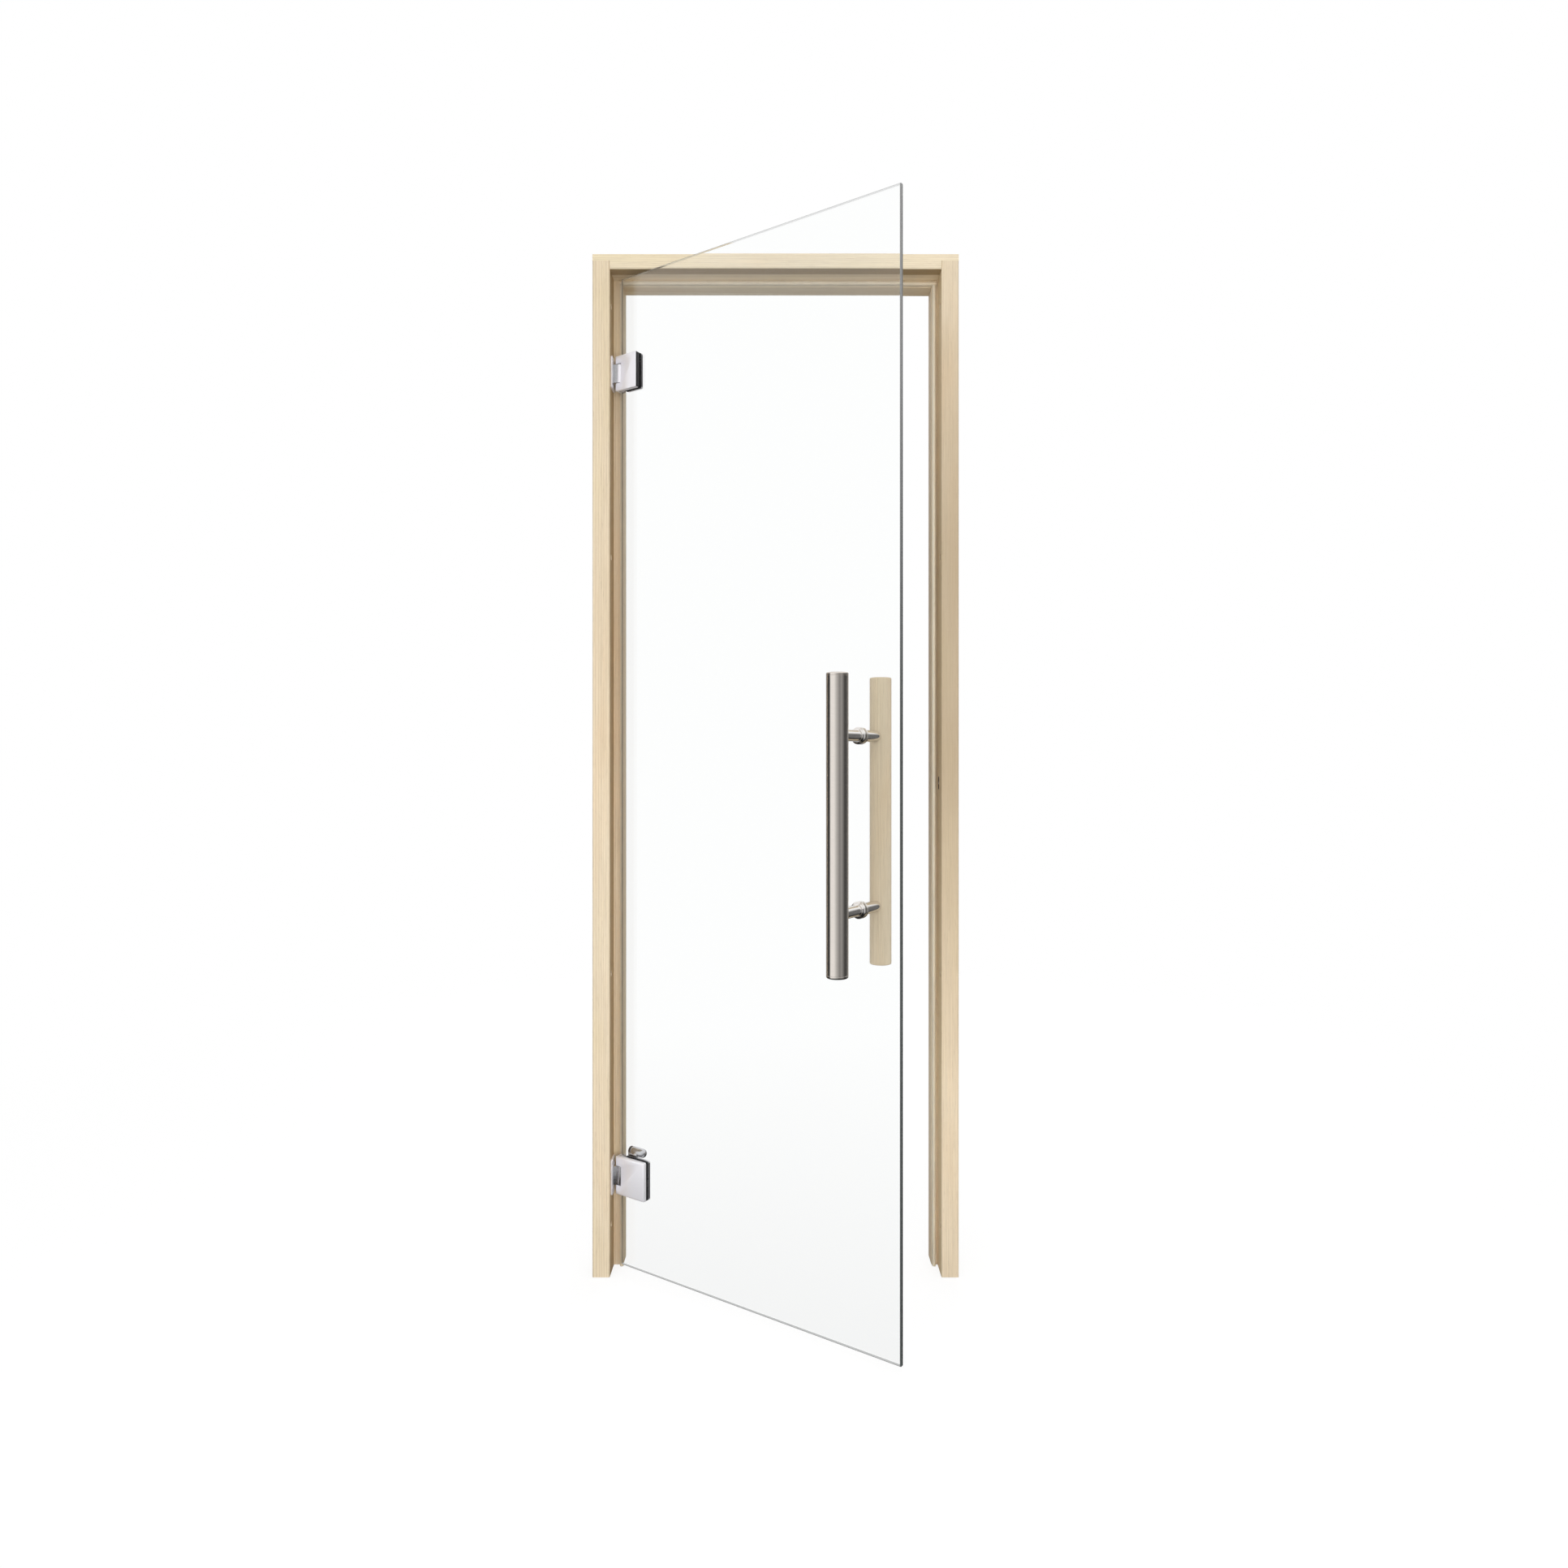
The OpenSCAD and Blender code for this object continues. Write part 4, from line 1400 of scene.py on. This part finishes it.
        # Painted shade: the web, and on the lower hinge the knuckle as well, take the darker screw steel.
        face = self.jamb_x + self.bracket_t + 0.5
        shaded_web_end = face if not self.has_closer else x + self.knuckle_r
        shaded_web_end = max(shaded_web_end, x - self.knuckle_r + 2)
        bracket.paint(SCREW_STEEL, lambda middle, normal: face < middle.x < shaded_web_end)
        bracket.hand_over(Body.FRAME, "satin_chrome", f"{self.name}_hinge_bracket")

    def bracket_screws(self, hanging: Hanging) -> None:
        """Makes the four wood screws of the bracket.

        Args:
            hanging: Where the leaf hangs.
        """
        screw = Screw(3.7, 2.0, 2.0, 25.0, 1.4, 0.2)
        screws = screw.drive(f"{self.name}_bracket_four", self.bracket_places(hanging), Way.AGAINST_X)
        screws.paint(SCREW_STEEL)
        screws.hand_over(Body.FRAME, "screw_steel", f"{self.name}_bracket_screws")

    def closer(self, hanging: Hanging) -> None:
        """Makes the closer's barrel, with its collar, its domed end and its key socket.

        Args:
            hanging: Where the leaf hangs.
        """
        r, length = self.closer_r, self.closer_l
        dome = [
            (r * math.cos(angle), length - r + r * math.sin(angle))
            for angle in (math.radians(step) for step in range(0, 91, 10))
        ]
        dome[-1] = (0, length)
        profile = [(0, 0), (r - 1, 0), (r, 1), (r, 6), (r - 0.6, 6.6), (r - 0.6, 7.4), (r, 8), *dome]
        start = self.clamp_start + self.corner
        top = self.middle + self.height / 2
        barrel = Workpiece.turned(f"{self.name}_closer", profile, 48)
        barrel.cut(Workpiece.rod("socket", (0, 0, -1), Way.ALONG_Z, 9, r / 2, sides=6))
        barrel.lay(Way.ALONG_X, (start, self.inner_y + r, top + r))
        foot = Workpiece.block("foot", (start + 1, self.inner_y, top), (start + length - 2 * r, self.inner_y + self.inner_t, top + r))
        foot.ease(0.6, 3)
        barrel.fuse(foot)
        barrel.paint(CLOSER_STEEL)
        barrel.paint(ENDS_PAINTED_DARK, lambda middle, normal: middle.x < start + 6)
        hanging.swing(barrel)
        barrel.hand_over(Body.DOOR, "satin_chrome", f"{self.name}_closer_barrel")


@dataclass
class PullHandle:
    """The pull: a steel tube outside, a wooden bar inside and two standoffs through the glass."""

    along: float = 518.0
    middle: float = 860.0
    length: float = 475.0
    outer_y: float = -64.5
    front: float = 1.5
    back: float = 9.5
    tube_r: float = 17.5
    cap_t: float = 5.0
    rim: float = 2.5
    post_r: float = 9.5
    post_heights: tuple[float, float] = (720.0, 1000.0)
    outer_reach: float = 66.0
    inner_reach: float = 52.0
    collar_t: float = 7.0
    bore_r: float = 7.0

    def build(self, frame: dict, hanging: Hanging) -> None:
        """Makes the caps, collars and posts and dresses the two bars.

        Args:
            hanging: Where the leaf hangs.
        """
        dress(frame, BRUSHED_STEEL, "outer_pull_bar")
        dress(frame, BAR_TIMBER, "inner_pull_bar")
        dress(frame, SCREW_STEEL, "handle_studs")
        self.cap("top", Way.ALONG_Z, self.middle + self.length / 2 - self.cap_t, hanging)
        self.cap("bottom", Way.AGAINST_Z, self.middle - self.length / 2 + self.cap_t, hanging)
        for level, z in zip(("lower", "upper"), self.post_heights):
            self.collar(f"{level}_outer", Way.AGAINST_Y, (self.along, self.front, z), hanging)
            self.collar(f"{level}_inner", Way.ALONG_Y, (self.along, self.back, z), hanging)
            self.post(f"{level}_outer", Way.AGAINST_Y, (self.along, self.front, z), self.outer_reach, hanging)
            self.post(f"{level}_inner", Way.ALONG_Y, (self.along, self.back, z), self.inner_reach, hanging)

    def cap(self, end: str, way: Way, height: float, hanging: Hanging) -> None:
        """Makes one end cap of the tube, with a fine joint line and a rounded rim.

        Args:
            end: top or bottom.
            way: Which way it points.
            height: Where it meets the tube.
            hanging: Where the leaf hangs.
        """
        rim = [
            (self.tube_r - self.rim + self.rim * math.cos(turn), self.cap_t - self.rim + self.rim * math.sin(turn))
            for turn in (math.radians(step) for step in range(0, 91, 15))
        ]
        inner = self.tube_r - 2.1
        profile = [(0, -4), (inner - 1, -4), (inner, -3), (inner, 0.05), (self.tube_r - 0.35, 0.05), (self.tube_r, 0.5)]
        cap = Workpiece.turned(f"outer_cap_{end}", [*profile, *rim, (0, self.cap_t)])
        cap.lay(way, (self.along, self.outer_y, height))
        cap.paint(BRUSHED_STEEL)
        hanging.swing(cap)
        cap.hand_over(Body.DOOR, "brushed_steel", f"outer_bar_{end}_cap")

    def collar(self, side: str, way: Way, foot: Point, hanging: Hanging) -> None:
        """Makes one turned collar against the glass.

        Args:
            side: Which collar, as upper_outer.
            way: Which way it points.
            foot: Where it meets the glass.
            hanging: Where the leaf hangs.
        """
        profile = (
            (0, 0.05), (12.9, 0.05), (13.6, 0.3), (13.95, 0.9), (13.95, 2.2), (13.7, 2.9), (13.1, 3.4),
            (12.2, 3.6), (11.7, 4.0), (11.45, 4.7), (11.45, 5.6), (11.2, 6.3), (10.6, 6.8), (9.9, 6.98), (0, 6.98),
        )  # fmt: skip
        collar = Workpiece.turned(f"{side}_collar", profile)
        collar.lay(way, foot)
        collar.paint(TURNED_STEEL)
        hanging.swing(collar)
        collar.hand_over(Body.DOOR, "brushed_steel", f"{side}_rosette")

    def post(self, side: str, way: Way, foot: Point, reach: float, hanging: Hanging) -> None:
        """Makes one standoff; the outer ones end in a saddle round the tube.

        Args:
            side: Which standoff, as upper_outer.
            way: Which way it points.
            foot: Where its axis meets the glass.
            reach: How far from the glass it ends.
            hanging: Where the leaf hangs.
        """
        r, start = self.post_r, self.collar_t
        groove = r - 0.5
        profile = [(0, start), (r - 0.4, start), (r, start + 0.4), (r, start + 2.4), (groove, start + 2.8)]
        profile += [(groove, start + 3.4), (r, start + 3.8), (r, reach), (0, reach)]
        post = Workpiece.turned(f"{side}_post", profile)
        post.lay(way, foot)
        if way is Way.AGAINST_Y:
            tube = Workpiece.rod(
                "saddle", (self.along, self.outer_y, foot[2] - 15), Way.ALONG_Z, 30, self.tube_r + 0.05, sides=96
            )
            post.cut(tube)
        post.paint(TURNED_STEEL)
        hanging.swing(post)
        post.hand_over(Body.DOOR, "brushed_steel", f"{side}_standoff")

    def holes(self) -> list[Point]:
        """Where the glass is drilled for the studs."""
        return [(self.along, z, self.bore_r) for z in self.post_heights]


# The studio


@dataclass
class Studio:
    """A white sweep, soft lamps and the camera."""

    eye: Point = (0.3556, -2.003, 0.9656)
    lens: float = 24.22
    rise: float = -0.0171
    floor_size: float = 9.0
    floor_tone: float = 0.2
    floor_near: float = 0.9
    floor_far: float = 2.8
    floor_glow: float = 0.83
    ambient: float = 0.5

    def build(self) -> None:
        """Sets up the camera, floor, world and lamps."""
        self.camera()
        self.floor()
        self.world()
        self.lamp("key_softbox", (-0.6, -4.2, 1.7), (0.34, 0, 1.0), 4.0, 96)
        self.lamp("low_fill", (0.95, -2.1, 0.15), (0.5, 0, 0.3), 1.6, 30)
        self.lamp("top_softbox", (0.4, -1.2, 4.4), (0.34, 0, 0.9), 3.0, 22)
        self.lamp("back_softbox", (0.9, 4.0, 2.2), (0.34, 0, 1.0), 3.0, 70)

    def camera(self) -> None:
        """Sets the camera at the eye height and distance that the frame's corners give."""
        bpy.ops.object.camera_add(location=self.eye, rotation=(math.pi / 2, 0, 0))
        camera = bpy.context.object
        camera.data.lens = self.lens
        camera.data.sensor_width = 36.0
        camera.data.shift_y = self.rise
        bpy.context.scene.camera = camera

    def floor(self) -> None:
        """Lays the pale floor, which keeps the shadow and fades to white far off."""
        clear_bench()
        bpy.ops.mesh.primitive_plane_add(size=self.floor_size, location=(0.34, 0, -0.0005))
        floor = bpy.context.object
        floor.name = "floor"
        mix = Recipe("studio_floor")
        mix.set(Base_Color=(self.floor_tone,) * 3, Roughness=0.9, Specular_IOR_Level=0.1)
        away = mix.tree.nodes.new("ShaderNodeVectorMath")
        away.operation = "LENGTH"
        mix.join(mix.place["Object"], away.inputs[0])
        far = mix.span(away.outputs["Value"], 0, 1, self.floor_near, self.floor_far)
        path = mix.tree.nodes.new("ShaderNodeLightPath").outputs
        seen = mix.sum(path["Is Camera Ray"], path["Is Transmission Ray"], "MAXIMUM")
        shaders = [mix.tree.nodes.new("ShaderNodeEmission") for _ in range(2)]
        for shader, strength in zip(shaders, (self.floor_glow, 1.0)):
            mix.join(mix.sum(seen, strength, "MULTIPLY"), shader.inputs["Strength"])
        near_glow, far_glow = shaders
        both = mix.tree.nodes.new("ShaderNodeAddShader")
        mix.join(mix.shader.outputs["BSDF"], both.inputs[0])
        mix.join(near_glow.outputs[0], both.inputs[1])
        fade = mix.tree.nodes.new("ShaderNodeMixShader")
        mix.join(far, fade.inputs[0])
        mix.join(both.outputs[0], fade.inputs[1])
        mix.join(far_glow.outputs[0], fade.inputs[2])
        passed = mix.tree.nodes.new("ShaderNodeMixShader")
        mix.join(path["Is Glossy Ray"], passed.inputs[0])
        mix.join(fade.outputs[0], passed.inputs[1])
        mix.join(mix.tree.nodes.new("ShaderNodeBsdfTransparent").outputs[0], passed.inputs[2])
        mix.join(passed.outputs[0], mix.output.inputs["Surface"])
        floor.data.materials.append(mix.material)

    def world(self) -> None:
        """Makes the white surroundings, with the dark flags that metal shows at its edges."""
        world = bpy.data.worlds.new("white_studio")
        bpy.context.scene.world = world
        world.use_nodes = True
        tree = world.node_tree
        tree.nodes.clear()
        new, join = tree.nodes.new, tree.links.new
        out = new("ShaderNodeOutputWorld")
        path = new("ShaderNodeLightPath").outputs
        facing = new("ShaderNodeSeparateXYZ")
        join(new("ShaderNodeTexCoord").outputs["Generated"], facing.inputs[0])
        back = new("ShaderNodeMath")
        back.operation = "MULTIPLY"
        back.inputs[1].default_value = -1.0
        join(facing.outputs["Y"], back.inputs[0])
        turn = new("ShaderNodeMath")
        turn.operation = "ARCTAN2"
        join(facing.outputs["X"], turn.inputs[0])
        join(back.outputs[0], turn.inputs[1])
        share = new("ShaderNodeMapRange")
        share.inputs["From Min"].default_value = -math.pi
        share.inputs["From Max"].default_value = math.pi
        join(turn.outputs[0], share.inputs["Value"])
        ramp = new("ShaderNodeValToRGB")
        join(share.outputs[0], ramp.inputs["Fac"])
        degrees = (
            (-180, 0.6), (-150, 0.4), (-125, 0.14), (-108, 0.05), (-95, 0.04), (-86, 0.06), (-78, 1.0), (-36, 1.0),
            (-14, 0.64), (8, 0.40), (24, 0.25), (38, 0.38), (58, 0.22), (74, 0.09), (94, 0.07), (125, 0.14),
            (150, 0.4), (180, 0.6),
        )  # fmt: skip
        while len(ramp.color_ramp.elements) < len(degrees):
            ramp.color_ramp.elements.new(0.5)
        for element, (angle, level) in zip(ramp.color_ramp.elements, degrees):
            element.position = (angle + 180) / 360
            element.color = (level, level, level, 1)
        overhead = new("ShaderNodeMapRange")
        for name, number in (("From Min", 0.2), ("From Max", 0.42)):
            overhead.inputs[name].default_value = number
        join(facing.outputs["Z"], overhead.inputs["Value"])
        below = new("ShaderNodeMapRange")
        for name, number in (("From Min", -0.25), ("From Max", -0.5), ("To Min", 1.0), ("To Max", 0.04)):
            below.inputs[name].default_value = number
        join(facing.outputs["Z"], below.inputs["Value"])
        lit = new("ShaderNodeMix")
        lit.data_type = "RGBA"
        join(overhead.outputs[0], lit.inputs[0])
        join(ramp.outputs[0], lit.inputs[6])
        lit.inputs[7].default_value = (1, 1, 1, 1)
        shown = new("ShaderNodeBackground")
        white = new("ShaderNodeBackground")
        white.inputs["Color"].default_value = (1, 1, 1, 1)
        soft = new("ShaderNodeBackground")
        soft.inputs["Color"].default_value = (1, 1, 1, 1)
        upper = new("ShaderNodeMapRange")
        for name, number in (("From Min", -0.3), ("From Max", 0.1), ("To Min", 0.1), ("To Max", self.ambient)):
            upper.inputs[name].default_value = number
        join(facing.outputs["Z"], upper.inputs["Value"])
        join(upper.outputs[0], soft.inputs["Strength"])
        join(lit.outputs[2], shown.inputs["Color"])
        join(below.outputs[0], shown.inputs["Strength"])
        mirrored = new("ShaderNodeMath")
        mirrored.operation = "GREATER_THAN"
        mirrored.inputs[1].default_value = 0.5
        join(path["Glossy Depth"], mirrored.inputs[0])
        glossy = new("ShaderNodeMixShader")
        join(mirrored.outputs[0], glossy.inputs[0])
        join(soft.outputs[0], glossy.inputs[1])
        join(shown.outputs[0], glossy.inputs[2])
        direct = new("ShaderNodeMath")
        direct.operation = "MAXIMUM"
        join(path["Is Camera Ray"], direct.inputs[0])
        join(path["Is Transmission Ray"], direct.inputs[1])
        plain = new("ShaderNodeMath")
        plain.operation = "SUBTRACT"
        plain.use_clamp = True
        join(direct.outputs[0], plain.inputs[0])
        join(mirrored.outputs[0], plain.inputs[1])
        last = new("ShaderNodeMixShader")
        join(plain.outputs[0], last.inputs[0])
        join(glossy.outputs[0], last.inputs[1])
        join(white.outputs[0], last.inputs[2])
        join(last.outputs[0], out.inputs["Surface"])

    def lamp(self, name: str, where: Point, target: Point, size: float, power: float) -> None:
        """Hangs one square softbox.

        Args:
            name: The lamp's name.
            where: Its place.
            target: What it points at.
            size: Its side.
            power: Its power, in watts.
        """
        bpy.ops.object.light_add(type="AREA", location=where)
        lamp = bpy.context.object
        lamp.name = name
        lamp.data.shape = "SQUARE"
        lamp.data.size = size
        lamp.data.energy = power
        lamp.rotation_euler = (Vector(target) - Vector(where)).to_track_quat("-Z", "Y").to_euler()
        lamp.visible_glossy = False
        lamp.visible_transmission = False
        lamp.visible_camera = False


# All of it


def main() -> None:
    """Builds the studio and the door's sub-assemblies, one after the other."""
    logging.basicConfig(level=logging.INFO, format="%(message)s")
    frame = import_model()
    bpy.context.scene.view_settings.view_transform = "Standard"
    Studio().build()
    hanging = Hanging.read(frame)
    hinges = (Hinge("upper", 1686.0, 66.0, 46.0), Hinge("lower", 180.0, 72.0, 64.0, front_round=3.4, end_painted_dark=False, has_closer=True))
    handle = PullHandle()
    TimberFrame().build(frame)
    Seals().build()
    StrikeCatch().build()
    notches = [(hinge.middle, hinge.height / 2 + 1.5) for hinge in hinges]
    holes = [(hinge.clamp_x, z, hinge.clamp_bore) for hinge in hinges for z in hinge.clamp_heights]
    GlassLeaf().build(hanging, notches, holes + handle.holes())
    for hinge in hinges:
        hinge.build(frame, hanging)
    handle.build(frame, hanging)


if __name__ == "__main__":
    main()
